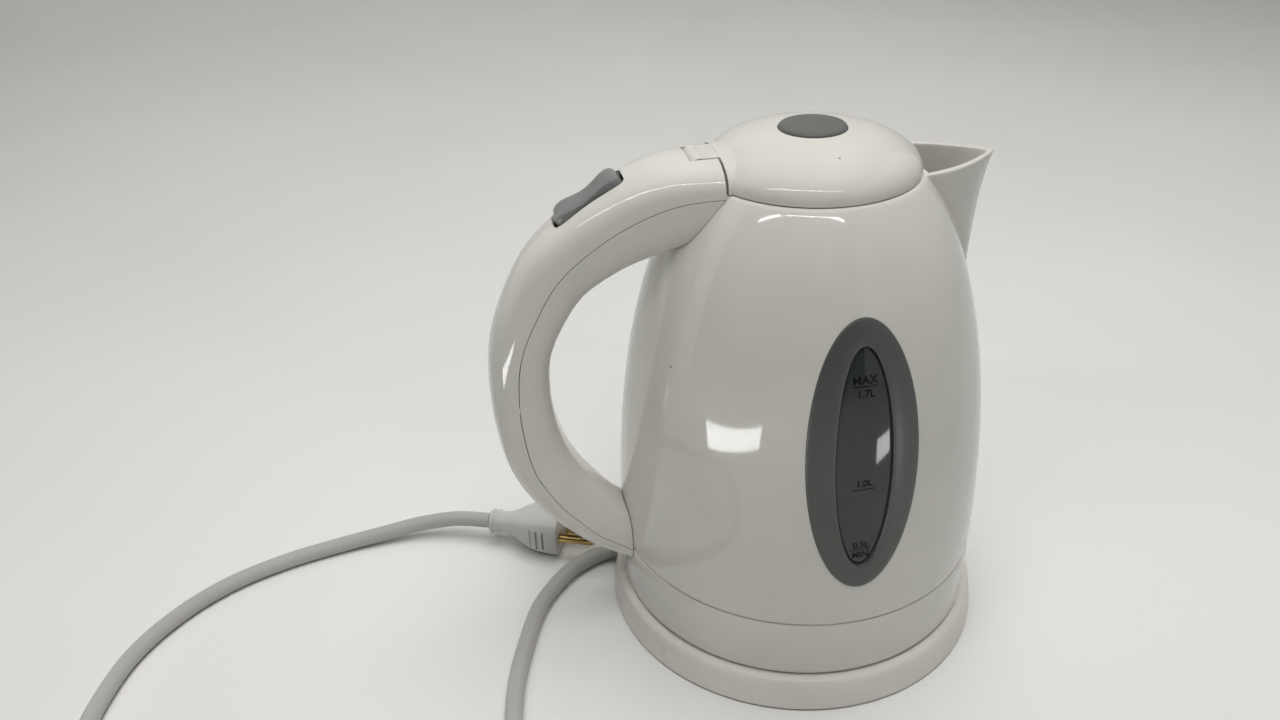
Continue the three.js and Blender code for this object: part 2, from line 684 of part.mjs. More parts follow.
// The ring that presses the heating plate up against its seal, with a boss for each screw.
function makeClampRing() {
  const [low, high] = [PLATE_Z - GAP - 2, PLATE_Z - GAP];
  const outer = BODY_RADIUS - BODY_WALL - GAP - 0.2;
  const inner = outer - CLAMP_WIDTH;
  const ring = turned([[inner, low], [outer, low], [outer, high], [inner, high]]);
  const bottom = JUG_BOTTOM + COVER_WALL + GAP;
  const bosses = coverScrewPlaces().map((place) => cylinder(3.9, bottom, low + 0.5, place));
  const bores = coverScrewPlaces().map((place) => cylinder(SCREW_RADIUS + GAP, 0, 36, place));
  return piece("plate_clamp_ring", cut(join(ring, ...bosses), ...bores), INNER_WHITE);
}

function screw(name, [x, y], low, length) {
  const [head, shank, under] = [SCREW_HEAD_RADIUS, SCREW_RADIUS, SCREW_HEAD_HEIGHT];
  const profile = [[0, 0], [head, 0], [head, under], [shank, under], [shank, length], [0, length]];
  const body = turned(profile, 10).translate([x, y, low]);
  return piece(name, body, STEEL);
}

const coverScrews = () =>
  coverScrewPlaces().map((place, i) =>
    screw(`cover_screw_${i + 1}`, place, JUG_BOTTOM + 0.1, 14),
  );

function makeHeatingPlate() {
  const radius = BODY_RADIUS - BODY_WALL - 3.2;
  const [low, high] = [PLATE_Z, PLATE_Z + PLATE_THICKNESS];
  const disc = turned([[0, low], [radius, low], [radius, high], [0, high]]);
  return piece("heating_plate", disc, STEEL);
}

function makePlateSeal() {
  const outer = BODY_RADIUS - BODY_WALL - GAP;
  const low = PLATE_Z + PLATE_THICKNESS + GAP;
  const inner = outer - LEDGE_DEPTH + 0.3;
  const high = low + SEAL_HEIGHT;
  const ring = turned([[inner, low], [outer, low], [outer, high], [inner, high]]);
  return piece("plate_seal", ring, SILICONE);
}

// The sheathed element: most of a circle, brazed under the plate.
class OpenRing extends THREE.Curve {
  getPoint(t) {
    const [x, y] = polar(ELEMENT_RADIUS, -150 + 300 * t);
    return new THREE.Vector3(x, y, PLATE_Z - GAP - ELEMENT_THICKNESS / 2);
  }
}

function makeHeatingElement() {
  const body = tube(new OpenRing(), ELEMENT_THICKNESS / 2, 8, 24);
  return piece("heating_element", body, ALUMINIUM);
}

const connectorTop = BASE_HEIGHT + SOCKET_HEIGHT + 3.7;

function makeJugControl() {
  const body = turned([
    [0, connectorTop + GAP],
    [CONTROL_RADIUS, connectorTop + GAP],
    [CONTROL_RADIUS, PLATE_Z - GAP - 4],
    [CONTROL_RADIUS - 5, PLATE_Z - GAP],
    [0, PLATE_Z - GAP],
  ], 24);
  return piece("jug_control", body, BLACK_PLASTIC);
}

function makeJugConnector() {
  const roof = BASE_HEIGHT + SOCKET_HEIGHT + GAP;
  const room = SOCKET_RADIUS + 2;
  const cup = turned([
    [0, roof],
    [room, roof],
    [room, JUG_BOTTOM + 0.5],
    [JUG_CONNECTOR_RADIUS, JUG_BOTTOM + 0.5],
    [JUG_CONNECTOR_RADIUS, connectorTop],
    [0, connectorTop],
  ], 24);
  return piece("jug_connector", cup, BLACK_PLASTIC);
}

// A plain upright tube about the jug's axis.
function sleeve(name, inner, outer, low, high) {
  const ring = turned([[inner, low], [outer, low], [outer, high], [inner, high]], 16);
  return piece(name, ring, BRASS);
}

function jugContacts() {
  const high = BASE_HEIGHT + SOCKET_HEIGHT;
  const pin = cylinder(PIN_RADIUS, JUG_BOTTOM + 1.2, high);
  const half = CONTACT_WALL / 2;
  const ring = [RING_RADIUS - half, RING_RADIUS + half, JUG_BOTTOM + 1.7, high];
  return [piece("jug_centre_pin", pin, BRASS), sleeve("jug_ring_contact", ...ring)];
}

// ---------------------------------------------------------------- spout filter

// The filter stands inside the spout's mouth. Its frame: X across, Y up along it, Z to the jug.
function filterFrame() {
  const inner = bodyRadius(RIM_Z - FILTER_DROP) - BODY_WALL - FILTER_CLEARANCE;
  const reach = Math.sqrt(inner ** 2 - FILTER_HALF_WIDTH ** 2) - FILTER_FOOT_INSET;
  const top = vec3([RIM_RADIUS - BODY_WALL + 0.9 - FILTER_CLEARANCE, 0, RIM_Z - 2]);
  const bottom = vec3([reach, 0, RIM_Z - FILTER_DROP]);
  const up = top.clone().sub(bottom);
  const across = new THREE.Vector3(0, 1, 0);
  const facing = new THREE.Vector3().crossVectors(across, up.clone().normalize());
  const frame = new THREE.Matrix4().makeBasis(across, up.clone().normalize(), facing);
  return { frame: frame.setPosition(bottom), length: up.length() };
}

function makeFilter() {
  const { frame, length } = filterFrame();
  const [half, border, thick] = [FILTER_HALF_WIDTH, FILTER_BORDER, FILTER_THICKNESS];
  const inside = [half - border, length - border];
  const rim = cut(
    framedBox(frame, [-half, 0, 0], [half, length, thick]),
    framedBox(frame, [-inside[0], border, -5], [inside[0], inside[1], 5]),
  );
  const margin = GAP + 0.05;
  const low = [-inside[0] + margin, border + margin, 0.4];
  let mesh = framedBox(frame, low, [inside[0] - margin, inside[1] - margin, 1.2]);
  for (let x = -9; x <= 9.1; x += 3.6) {
    const slot = framedBox(frame, [x - 1.1, border + 3, -5], [x + 1.1, inside[1] - 3, 5]);
    mesh = mesh.subtract(slot);
  }
  return [piece("filter_frame", rim, INNER_WHITE), piece("filter_mesh", mesh, SILICONE)];
}

// ---------------------------------------------------------------- lid

const lidEdgeZ = RIM_Z + 0.5;
const lidTopZ = RIM_Z + LID_HEIGHT + 0.3;

// The dome: a superellipse from the lid's edge to its top.
function domeProfile(inset, count) {
  const [radius, rise] = [LID_RADIUS - inset, lidTopZ - lidEdgeZ - inset];
  const points = [];
  for (let i = 0; i < count; i += 1) {
    const angle = (Math.PI / 2) * (i / (count - 1));
    points.push([radius * Math.cos(angle) ** 0.82, lidEdgeZ + rise * Math.sin(angle) ** 0.95]);
  }
  points.at(-1)[0] = 0;
  return points;
}

function domeSolid(inset, low, count) {
  const side = domeProfile(inset, count);
  return turned([[0, low], [LID_RADIUS - inset, low], ...side.slice(inset ? 0 : 1)]);
}

// The neck that carries the handle's section forward onto the dome.
function neckSolid() {
  const stations = [0, 8, 17].map((forward) => {
    const x = -(RIM_RADIUS - LID_CUT) + forward;
    const outline = halfSection(NECK_HALF_WIDTH - forward * 0.1, NECK_HEIGHT + forward * 0.12, 0.8, 14);
    const basis = new THREE.Matrix4().makeBasis(
      new THREE.Vector3(0, 1, 0),
      new THREE.Vector3(0, 0, 1),
      new THREE.Vector3(1, 0, 0),
    );
    return { outline, frame: basis.setPosition(x, 0, lidEdgeZ) };
  });
  return loft(stations);
}

function makeLidDome() {
  const back = -(RIM_RADIUS - LID_CUT);
  const behindCut = box([-80, -60, RIM_Z - 5], [back, 60, RIM_Z + 40]);
  const crown = cut(join(domeSolid(0, lidEdgeZ, 9), neckSolid()), behindCut);
  const half = TONGUE_HALF_WIDTH;
  const at = [hingeX, 0, hingeZ];
  const barrel = crossCylinder(BARREL_RADIUS, "y", -half, half, at, 24);
  const arm = box([hingeX, -half, hingeZ - 1], [back + 3, half, hingeZ + BARREL_RADIUS - 0.3]);
  const hollow = domeSolid(LID_WALL, lidEdgeZ - 2, 7);
  const buttonHole = cylinder(BUTTON_RADIUS + 0.4, lidEdgeZ, lidTopZ + 5, [0, 0], 32);
  const pinHole = crossCylinder(HINGE_PIN_RADIUS + GAP, "y", -20, 20, at);
  const clipped = cut(hollow, box([-80, -60, 0], [-LINER_RADIUS - GAP, 60, 400]));
  const dome = cut(join(crown, arm, barrel), clipped, buttonHole, pinHole);
  return piece("lid_dome", dome, WHITE);
}

const linerFloorZ = RIM_Z - LINER_DEPTH;
const latchZ = RIM_Z - 5;

function makeLidLiner() {
  const wallTop = lidEdgeZ + 1.3;
  const inner = LINER_RADIUS - LINER_WALL;
  const cup = turned([
    [0, linerFloorZ],
    [inner, linerFloorZ],
    [LINER_RADIUS, linerFloorZ + 2],
    [LINER_RADIUS, wallTop],
    [inner, wallTop],
    [inner, linerFloorZ + 2.2],
    [7, linerFloorZ + 2.2],
    [7, springLowZ - GAP],
    [0, springLowZ - GAP],
  ]);
  const slots = latchBox(0.4, 3);
  return piece("lid_liner", cut(cup, slots(1), slots(-1)), INNER_WHITE);
}

const springLowZ = RIM_Z + 2.8;

function makeLidSeal() {
  const [low, high] = [RIM_Z - 2, RIM_Z - 0.2];
  const inner = LINER_RADIUS + GAP;
  const outer = offsetRadius(RIM_Z, -BODY_WALL) - 0.5;
  const ring = turned([[inner, low], [outer - 0.6, low], [outer, high], [inner, high]]);
  return piece("lid_seal", ring, SILICONE);
}

// A latch bolt's box, grown by a margin across and by a longer one along its travel.
function latchBox(margin, travel) {
  const tip = offsetRadius(RIM_Z, -BODY_WALL) - 0.8;
  return (side) => {
    const ends = [side * (BUTTON_RADIUS + 3.6 - travel), side * (tip + travel)];
    const [a, b] = ends.sort((p, q) => p - q);
    const low = [-5 - margin, a, latchZ - 1.5 - margin];
    return box(low, [5 + margin, b, latchZ + 1.5 + margin]);
  };
}

function latchBolts() {
  const bolt = latchBox(0, 0);
  return [piece("latch_bolt_near", bolt(-1), INNER_WHITE), piece("latch_bolt_far", bolt(1), INNER_WHITE)];
}

const buttonTopZ = RIM_Z + LID_HEIGHT + BUTTON_PROUD + 0.3;

function makeLidButton() {
  const cap = turned([
    [0, buttonTopZ - 2.6],
    [BUTTON_RADIUS - 2, buttonTopZ - 2.6],
    [BUTTON_RADIUS - 2, buttonTopZ - BUTTON_SKIRT],
    [BUTTON_RADIUS, buttonTopZ - BUTTON_SKIRT],
    [BUTTON_RADIUS, buttonTopZ - 1],
    [BUTTON_RADIUS - 1, buttonTopZ - 0.2],
    [0, buttonTopZ],
  ], 24);
  return piece("lid_button", cap, BUTTON_GREY);
}

class SpringLine extends THREE.Curve {
  getPoint(t) {
    const [x, y] = polar(SPRING_RADIUS, 360 * SPRING_TURNS * t);
    const travel = buttonTopZ - 2.6 - springLowZ - 2 * (GAP + SPRING_WIRE);
    return new THREE.Vector3(x, y, springLowZ + GAP + SPRING_WIRE + travel * t);
  }
}

function makeButtonSpring() {
  return piece("button_spring", tube(new SpringLine(), SPRING_WIRE, 5, 36), STEEL);
}

// ---------------------------------------------------------------- power base

const footPlaces = () => [45, 135, 225, 315].map((angle) => polar(FOOT_CIRCLE, angle));
const baseScrewPlaces = () => [30, 150, 270].map((angle) => polar(HUB_SCREW_CIRCLE, angle));
const deckUnderside = BASE_HEIGHT - BASE_WALL;

function notch(angle) {
  const half = NOTCH_WIDTH / 2;
  const low = [FOOT_CIRCLE, -half, -5];
  return box(low, [BASE_RADIUS + 5, half, NOTCH_HEIGHT]).rotate([0, 0, angle]);
}

function makeBaseCover() {
  const hole = SOCKET_COLLAR + GAP;
  const shell = turned([
    [BASE_RADIUS - BASE_WALL, SKIRT_LIFT],
    [BASE_RADIUS, SKIRT_LIFT],
    [BASE_RADIUS - 0.3, SKIRT_LIFT + 2],
    [BASE_TOP_RADIUS + 1.4, BASE_HEIGHT - 1.6],
    [BASE_TOP_RADIUS + 0.7, BASE_HEIGHT - 0.5],
    [BASE_TOP_RADIUS - 0.6, BASE_HEIGHT],
    [hole, BASE_HEIGHT],
    [hole, deckUnderside],
    [BASE_TOP_RADIUS - BASE_WALL, deckUnderside],
  ]);
  const posts = footPlaces().map((p) => cylinder(6.6, FOOT_HEIGHT + GAP, deckUnderside + 0.5, p));
  const bosses = baseScrewPlaces().map((p) => cylinder(3.8, HUB_FLOOR + GAP, deckUnderside + 0.5, p));
  const bores = baseScrewPlaces().map((p) => cylinder(SCREW_RADIUS + GAP, 0, 12, p));
  const solidCover = join(shell, ...posts, ...bosses);
  const cuts = [notch(CORD_NOTCH_ANGLE), ...bores];
  return piece("base_cover", cut(solidCover, ...cuts), BASE_WHITE);
}

// The cup under the deck that closes the wiring space. Spare cord winds round it.
function makeBaseHub() {
  const top = deckUnderside - GAP;
  const cup = turned([
    [0, 0],
    [HUB_RADIUS - 0.8, 0],
    [HUB_RADIUS, 0.8],
    [HUB_RADIUS, top],
    [HUB_RADIUS - HUB_WALL, top],
    [HUB_RADIUS - HUB_WALL, HUB_FLOOR],
    [0, HUB_FLOOR],
  ]);
  const [bore, well] = [SCREW_RADIUS + 0.4, SCREW_HEAD_RADIUS + 0.4];
  const heads = baseScrewPlaces().map((p) => cylinder(well, -1, 1.9, p));
  const holes = baseScrewPlaces().map((p) => cylinder(bore, -1, 5, p));
  const relief = crossCylinder(CORD_RADIUS + GAP, "x", 20, 50, [0, 0, RELIEF_Z]).rotate([0, 0, RELIEF_ANGLE]);
  return piece("base_hub", cut(cup, ...heads, ...holes, relief), BASE_WHITE);
}

const baseScrews = () =>
  baseScrewPlaces().map((place, i) => screw(`base_screw_${i + 1}`, place, 0.3, 10));

const feet = () =>
  footPlaces().map((place, i) => {
    const r = FOOT_RADIUS;
    const pad = turned([[0, 0], [r - 0.6, 0], [r, 0.6], [r, FOOT_HEIGHT], [0, FOOT_HEIGHT]], 14);
    return piece(`base_foot_${i + 1}`, pad.translate([...place, 0]), RUBBER);
  });

function makeBaseConnector() {
  const top = BASE_HEIGHT + SOCKET_HEIGHT - GAP;
  const groove = [RING_RADIUS - CONTACT_WALL / 2 - GAP, RING_RADIUS + 1.7];
  const depth = BASE_HEIGHT + 0.6;
  const bore = PIN_RADIUS + 1.5;
  const body = turned([
    [0, 9],
    [16, 9],
    [16, deckUnderside - GAP - 2.4],
    [20, deckUnderside - GAP - 2.4],
    [20, deckUnderside - GAP],
    [SOCKET_COLLAR, deckUnderside - GAP],
    [SOCKET_COLLAR, BASE_HEIGHT + 0.4],
    [SOCKET_RADIUS, BASE_HEIGHT + 0.4],
    [SOCKET_RADIUS, top],
    [groove[1], top],
    [groove[1], depth],
    [groove[0], depth],
    [groove[0], top],
    [bore, top],
    [bore, depth - 1],
    [0, depth - 1],
  ], 24);
  return piece("base_connector", body, BLACK_PLASTIC);
}

function baseContacts() {
  const [low, high] = [BASE_HEIGHT + 0.9, BASE_HEIGHT + SOCKET_HEIGHT - 1.2];
  const centre = PIN_RADIUS + GAP;
  const ring = RING_RADIUS + CONTACT_WALL / 2 + GAP;
  return [
    sleeve("base_centre_contact", centre, centre + CONTACT_WALL, low, high),
    sleeve("base_ring_contact", ring, ring + CONTACT_WALL, low, high),
  ];
}

// ---------------------------------------------------------------- mains lead

// The strain relief: a flange inside the hub, a neck through its wall, and a tapered tail.
function makeStrainRelief() {
  const start = HUB_RADIUS - HUB_WALL - 3.6;
  const wallOut = HUB_RADIUS + GAP;
  const tip = wallOut + RELIEF_LENGTH;
  const tail = turned([
    [0, start],
    [RELIEF_FLANGE, start],
    [RELIEF_FLANGE, start + 2.6],
    [CORD_RADIUS, start + 2.6],
    [CORD_RADIUS, wallOut],
    [RELIEF_FLANGE, wallOut],
    [RELIEF_FLANGE, wallOut + 2],
    [CORD_RADIUS + 0.5, tip],
    [0, tip],
  ], 20);
  const laid = tail.rotate([0, 90, 0]).translate([0, 0, RELIEF_Z]).rotate([0, 0, RELIEF_ANGLE]);
  return piece("strain_relief", laid, CORD_WHITE);
}

function makeCord() {
  const curve = new THREE.CatmullRomCurve3(CORD_ROUTE.map(vec3), false, "centripetal");
  return piece("mains_cord", tube(curve, CORD_RADIUS, CORD_SIDES, CORD_STEPS), CORD_WHITE);
}

// The plug's frame: X across, Y up, Z along it to the blades.
function plugFrame() {
  const along = vec3([...polar(1, PLUG_ANGLE), 0]);
  const up = new THREE.Vector3(0, 0, 1);
  const across = new THREE.Vector3().crossVectors(up, along);
  return new THREE.Matrix4().makeBasis(across, up, along).setPosition(vec3(PLUG_START));
}

function makePlug() {
  const sections = [
    [0, 5.0, 5.0],
    [0.8, 6.4, 6.4],
    [3.6, 6.4, 6.4],
    [4.4, 5.7, 5.7],
    [12, 6.4, 6.2],
    [19, 9.8, 8.6],
    [27, 12.4, 10.6],
    [PLUG_LENGTH - 1, 13.2, 11.2],
    [PLUG_LENGTH, 12.6, 10.6],
  ];
  const stations = sections.map(([along, halfWidth, halfHeight]) => {
    const upper = halfSection(halfWidth, halfHeight, along > 12 ? 0.62 : 1, 8).slice(0, -1);
    const outline = [...upper, ...upper.map(([u, v]) => [-u, -v])];
    const frame = plugFrame().multiply(new THREE.Matrix4().makeTranslation(0, 0, along));
    return { outline, frame };
  });
  return piece("plug_body", loft(stations), CORD_WHITE);
}

// Two flat blades one over the other, and the round earth pin beside them.
function plugPins() {
  const frame = plugFrame();
  const start = PLUG_LENGTH + GAP;
  const blade = (name, height) => {
    const low = [0.8, height - 0.75, start];
    const high = [7.2, height + 0.75, start + 17];
    return piece(name, framedBox(frame, low, high), BRASS);
  };
  const earth = new THREE.CylinderGeometry(2.4, 2.4, 19, 16);
  earth.rotateX(Math.PI / 2).translate(-7.9, 0, start + 9.5).applyMatrix4(frame);
  return [
    blade("plug_blade_lower", -6.35),
    blade("plug_blade_upper", 6.35),
    piece("plug_earth_pin", solid(earth), BRASS),
  ];
}

// ---------------------------------------------------------------- the assembly

const group = new THREE.Group();

const base = [
  makeBaseCover(),
  makeBaseHub(),
  ...feet(),
  ...baseScrews(),
  makeBaseConnector(),
  ...baseContacts(),
];
const lead = [makeStrainRelief(), makeCord(), makePlug(), ...plugPins()];
const jug = [
  makeBodyShell(),
  ...makeWindow("near_window", 1),
  ...makeWindow("far_window", -1),
  makeBottomCover(),
  ...coverScrews(),
  makeClampRing(),
  makeHeatingPlate(),
  makePlateSeal(),
  makeHeatingElement(),
  makeJugControl(),
  makeJugConnector(),
  ...jugContacts(),
  ...makeFilter(),
];
const handle = [
  makeHandleOuter(),
  makeHandleInner(),
  makeHingePin(),
  makeRocker(),
  makeRockerPin(),
  makeSwitchHousing(),
  makeBimetalDisc(),
  makePilotLamp(),
  makeHarness(),
];
const lid = [
  makeLidDome(),
  makeLidLiner(),
  makeLidSeal(),
  makeLidButton(),
  makeButtonSpring(),
  ...latchBolts(),
];
group.add(...base, ...lead, ...jug, ...handle, ...lid);

export default group;
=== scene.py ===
"""Looks of an electric kettle: fine pieces, materials, lead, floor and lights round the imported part.

Lengths are written in millimetres and scaled once, where a mesh is made.
"""

import json
import math

import bmesh
import bpy
import numpy as np
from mathutils import Matrix, Vector


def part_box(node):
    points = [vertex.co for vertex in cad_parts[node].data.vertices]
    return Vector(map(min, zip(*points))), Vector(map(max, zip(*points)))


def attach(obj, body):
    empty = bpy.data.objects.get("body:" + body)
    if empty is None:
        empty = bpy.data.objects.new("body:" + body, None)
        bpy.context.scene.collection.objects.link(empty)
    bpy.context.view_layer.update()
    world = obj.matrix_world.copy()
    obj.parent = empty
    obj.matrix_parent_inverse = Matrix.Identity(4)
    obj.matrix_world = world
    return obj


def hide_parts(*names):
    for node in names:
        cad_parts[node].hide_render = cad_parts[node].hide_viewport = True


MM = 0.001
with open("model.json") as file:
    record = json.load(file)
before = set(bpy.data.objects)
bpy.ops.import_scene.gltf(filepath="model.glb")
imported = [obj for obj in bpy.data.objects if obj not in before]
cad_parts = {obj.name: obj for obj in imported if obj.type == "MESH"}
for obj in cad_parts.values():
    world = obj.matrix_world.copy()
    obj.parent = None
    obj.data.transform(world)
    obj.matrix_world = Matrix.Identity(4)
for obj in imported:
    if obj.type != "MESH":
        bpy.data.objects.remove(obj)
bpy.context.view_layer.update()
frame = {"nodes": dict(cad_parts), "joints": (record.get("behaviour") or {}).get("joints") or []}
nodes = frame["nodes"]


def mm_box(*names):
    """Lowest and highest corner, in millimetres, of some CAD nodes together."""
    corners = np.array([[list(c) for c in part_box(name)] for name in names]) / MM
    return corners[:, 0].min(0), corners[:, 1].max(0)


# ---------------------------------------------------------------- sizes, from the frame

GAP = 0.3
shell_low, shell_high = mm_box("body_shell")
cover_low, cover_high = mm_box("bottom_cover")
SEAM_Z = shell_low[2] - GAP / 2
RIM_Z = shell_high[2]
JUG_BOTTOM = cover_low[2]
BODY_RADIUS = cover_high[1]
SPOUT_TIP = 80.0
RIM_RADIUS = 44.5
BODY_CURVE = 2.3
BODY_WALL = 2.5
COVER_WALL = 2.2
CONNECTOR_HOLE = 24.9
BOSS_CIRCLE = 70.0
SCREW_ANGLES = (30, 150, 270)
SCREW_HOLE_RADIUS = 1.9
SCREW_WELL_RADIUS = 3.4
WIRE_HOLE_RADIUS = 2.8
WIRE_EXIT_Z = SEAM_Z - 3.7
SPOUT_HALF_WIDTH = 21.0
SPOUT_LOW_Z = 146.0
SPOUT_WALL = 2.6
SPOUT_POINT = 1.8  # exponent of its plan
WINDOW_Z = sum(c[2] for c in mm_box("near_window_bezel")) / 2
BEZEL_HALF_WIDTH = (mm_box("near_window_bezel")[1] - mm_box("near_window_bezel")[0])[0] / 2
BEZEL_HALF_HEIGHT = (mm_box("near_window_bezel")[1] - mm_box("near_window_bezel")[0])[2] / 2
LENS_HALF_WIDTH = 11.65
LENS_HALF_HEIGHT = 46.6
BEZEL_PROUD = 0.6
LENS_SUNK = 0.8
HANDLE_REACH = 43.3
HANDLE_WALL = 2.2
LID_RADIUS = 43.5
LID_WALL = 2.3
LID_CUT = 5.0
LID_EDGE_Z = RIM_Z + 0.5
LID_TOP_Z = mm_box("lid_dome")[1][2]
HINGE_X, _, HINGE_Z = (c / MM for c in next(j for j in frame["joints"] if j["name"] == "lid_hinge")["pos_m"])
BARREL_RADIUS = 3.5
HINGE_HOLE_RADIUS = 1.4
HINGE_HOLE_END = 10.9
CUT_GAP = 0.9
TONGUE_HALF_WIDTH = 8.0
NECK_HALF_WIDTH = 21.5
NECK_HEIGHT = 10.6
NECK_LENGTH = 17.0
LINER_RADIUS = mm_box("lid_liner")[1][0]
BUTTON_RADIUS = mm_box("lid_button")[1][0]
BUTTON_TOP_Z = mm_box("lid_button")[1][2]
BUTTON_SKIRT = 10.0
ROCKER_AT = 0.212  # share of the handle's length, from the rim
ROCKER_HALF_LENGTH = 15.2
ROCKER_HALF_WIDTH = 6.8
BASE_RADIUS = mm_box("base_cover")[1][1]
BASE_TOP_RADIUS = 83.4
BASE_HEIGHT = mm_box("base_cover")[1][2]
BASE_WALL = 2.2
SKIRT_LIFT = mm_box("base_cover")[0][2]
HUB_RADIUS = 34.0
FOOT_CIRCLE = 73.0
FOOT_ANGLES = (45, 135, 225, 315)
HUB_SCREW_CIRCLE = 24.0
COLLAR_HOLE = 17.3
NOTCH_ANGLE = math.radians(159)
NOTCH_HALF_WIDTH = 7.0
NOTCH_HEIGHT = 9.6
CORD_RADIUS = 3.9
RELIEF_ANGLE = math.radians(157)
RELIEF_Z = 8.2
RELIEF_LENGTH = 24.0
RELIEF_FLANGE = 4.9
PLUG_START = Vector((-143, 62, 11.5))
PLUG_ANGLE = math.radians(-22)
PLUG_LENGTH = 38.8
BLADE_HALF_SPACING = 6.35
BLADE_HALF_THICKNESS = 0.75
EARTH_OFFSET = 7.9
CAMERA_PLACE = (-0.14008, -0.37623, 0.36027)  # in metres
CAMERA_FORWARD = (0.15400, 0.84742, -0.50809)
CAMERA_RIGHT = (0.98008, -0.19627, -0.03029)
CAMERA_LENS = 29.3006  # for a sensor 36 mm wide

# The lead's route, in metres: out of the hub, under the notch, round the table and back to the plug.
CORD_ROUTE = [
    (-0.05395, 0.0229, 0.0082), (-0.064, 0.027, 0.0074), (-0.075, 0.0306, 0.0058),
    (-0.086, 0.0318, 0.0044), (-0.097, 0.0286, 0.0041), (-0.108, 0.0214, 0.0041),
    (-0.117, 0.0116, 0.0041), (-0.125, 0.0, 0.0041), (-0.133, -0.02, 0.0041),
    (-0.14, -0.043, 0.0041), (-0.144, -0.068, 0.0041), (-0.146, -0.098, 0.0041),
    (-0.151, -0.128, 0.0041), (-0.167, -0.155, 0.0041), (-0.19, -0.1745, 0.0041),
    (-0.219, -0.1847, 0.0041), (-0.249, -0.1847, 0.0041), (-0.278, -0.1745, 0.0041),
    (-0.301, -0.155, 0.0041), (-0.316, -0.128, 0.0041), (-0.323, -0.098, 0.0041),
    (-0.3255, -0.07, 0.0041), (-0.3255, -0.042, 0.0041), (-0.322, -0.015, 0.0041),
    (-0.313, 0.012, 0.0041), (-0.297, 0.034, 0.0041), (-0.276, 0.051, 0.0041),
    (-0.25, 0.0625, 0.0041), (-0.222, 0.0693, 0.0043), (-0.2, 0.0718, 0.0056),
    (-0.18, 0.0719, 0.0084), (-0.1605, 0.0684, 0.011), (-0.1435, 0.0622, 0.0115),
]


# ---------------------------------------------------------------- camera

def make_camera():
    data = bpy.data.cameras.new("camera")
    data.sensor_width = 36.0
    data.lens = CAMERA_LENS
    data.clip_start = 0.01
    camera = bpy.data.objects.new("camera", data)
    forward = Vector(CAMERA_FORWARD).normalized()
    right = Vector(CAMERA_RIGHT)
    right = (right - forward * right.dot(forward)).normalized()
    up = right.cross(forward)
    turn = Matrix((right, up, -forward)).transposed()
    camera.matrix_world = Matrix.Translation(CAMERA_PLACE) @ turn.to_4x4()
    bpy.context.scene.collection.objects.link(camera)
    bpy.context.scene.camera = camera


# ---------------------------------------------------------------- mesh helpers

def link(name, mesh):
    piece = bpy.data.objects.new(name, mesh)
    bpy.context.scene.collection.objects.link(piece)
    return piece


def mesh_piece(name, points, faces, sharp=35):
    """A mesh object from points in millimetres, smooth except where faces meet at more than sharp degrees."""
    mesh = bpy.data.meshes.new(name)
    mesh.from_pydata([tuple(float(c) * MM for c in p) for p in points], [], faces)
    mesh.update()
    tidy = bmesh.new()
    tidy.from_mesh(mesh)
    bmesh.ops.remove_doubles(tidy, verts=tidy.verts, dist=0.004 * MM)
    bmesh.ops.recalc_face_normals(tidy, faces=tidy.faces)
    tidy.to_mesh(mesh)
    tidy.free()
    piece = link(name, mesh)
    smooth(piece, sharp)
    return piece


def smooth(piece, sharp=35):
    piece.data.shade_smooth()
    piece.data.set_sharp_from_angle(angle=math.radians(sharp))


def rows_to_faces(count, size, wrap=True):
    """Quads between consecutive rows of the same size."""
    faces = []
    across = size if wrap else size - 1
    for row in range(count - 1):
        for i in range(across):
            j = (i + 1) % size
            a, b = row * size, (row + 1) * size
            faces.append((a + i, a + j, b + j, b + i))
    return faces


def lofted(name, rows, closed_ends=True, ring=False, sharp=35):
    """A skin through closed outlines. A ring joins its last outline to its first."""
    rows = [list(row) for row in rows]
    size = len(rows[0])
    if ring:
        rows = rows + [rows[0]]
    points = [p for row in rows for p in row]
    faces = rows_to_faces(len(rows), size)
    if closed_ends and not ring:
        faces.append(tuple(range(size)))
        faces.append(tuple(range((len(rows) - 1) * size, len(rows) * size)))
    return mesh_piece(name, points, faces, sharp)


def turned(name, profile, sides=160, ring=True, sharp=35):
    """A revolved closed profile of (radius, height) points. Points on the axis close it."""
    angles = np.linspace(0, 2 * math.pi, sides, endpoint=False)
    rows = [
        [(r * math.cos(a), r * math.sin(a), z) for a in angles]
        for r, z in profile
    ]
    return lofted(name, rows, closed_ends=False, ring=ring, sharp=sharp)


def cylinder(radius, start, end, sides=48):
    """A cutter: a plain cylinder between two points, in millimetres."""
    start, end = Vector(start), Vector(end)
    turn = (end - start).to_track_quat("Z", "Y")
    rows = [
        [at + turn @ Vector((radius * math.cos(a), radius * math.sin(a), 0)) for a in
         np.linspace(0, 2 * math.pi, sides, endpoint=False)]
        for at in (start, end)
    ]
    return lofted("cutter", rows)


def block(low, high, turn=None):
    """A cutter: a box between two corners, in millimetres, in an optional frame."""
    corners = [
        Vector((x, y, z))
        for z in (low[2], high[2])
        for x, y in ((low[0], low[1]), (high[0], low[1]), (high[0], high[1]), (low[0], high[1]))
    ]
    if turn:
        corners = [turn @ c for c in corners]
    return lofted("cutter", [corners[:4], corners[4:]])


def combine(piece, tools, operation="DIFFERENCE"):
    """Cuts the tools from the piece or joins them to it, and deletes them."""
    for tool in tools:
        modifier = piece.modifiers.new("combine", "BOOLEAN")
        modifier.object = tool
        modifier.operation = operation
        modifier.solver = "MANIFOLD"
        apply_modifiers(piece)
        bpy.data.objects.remove(tool)
    return piece


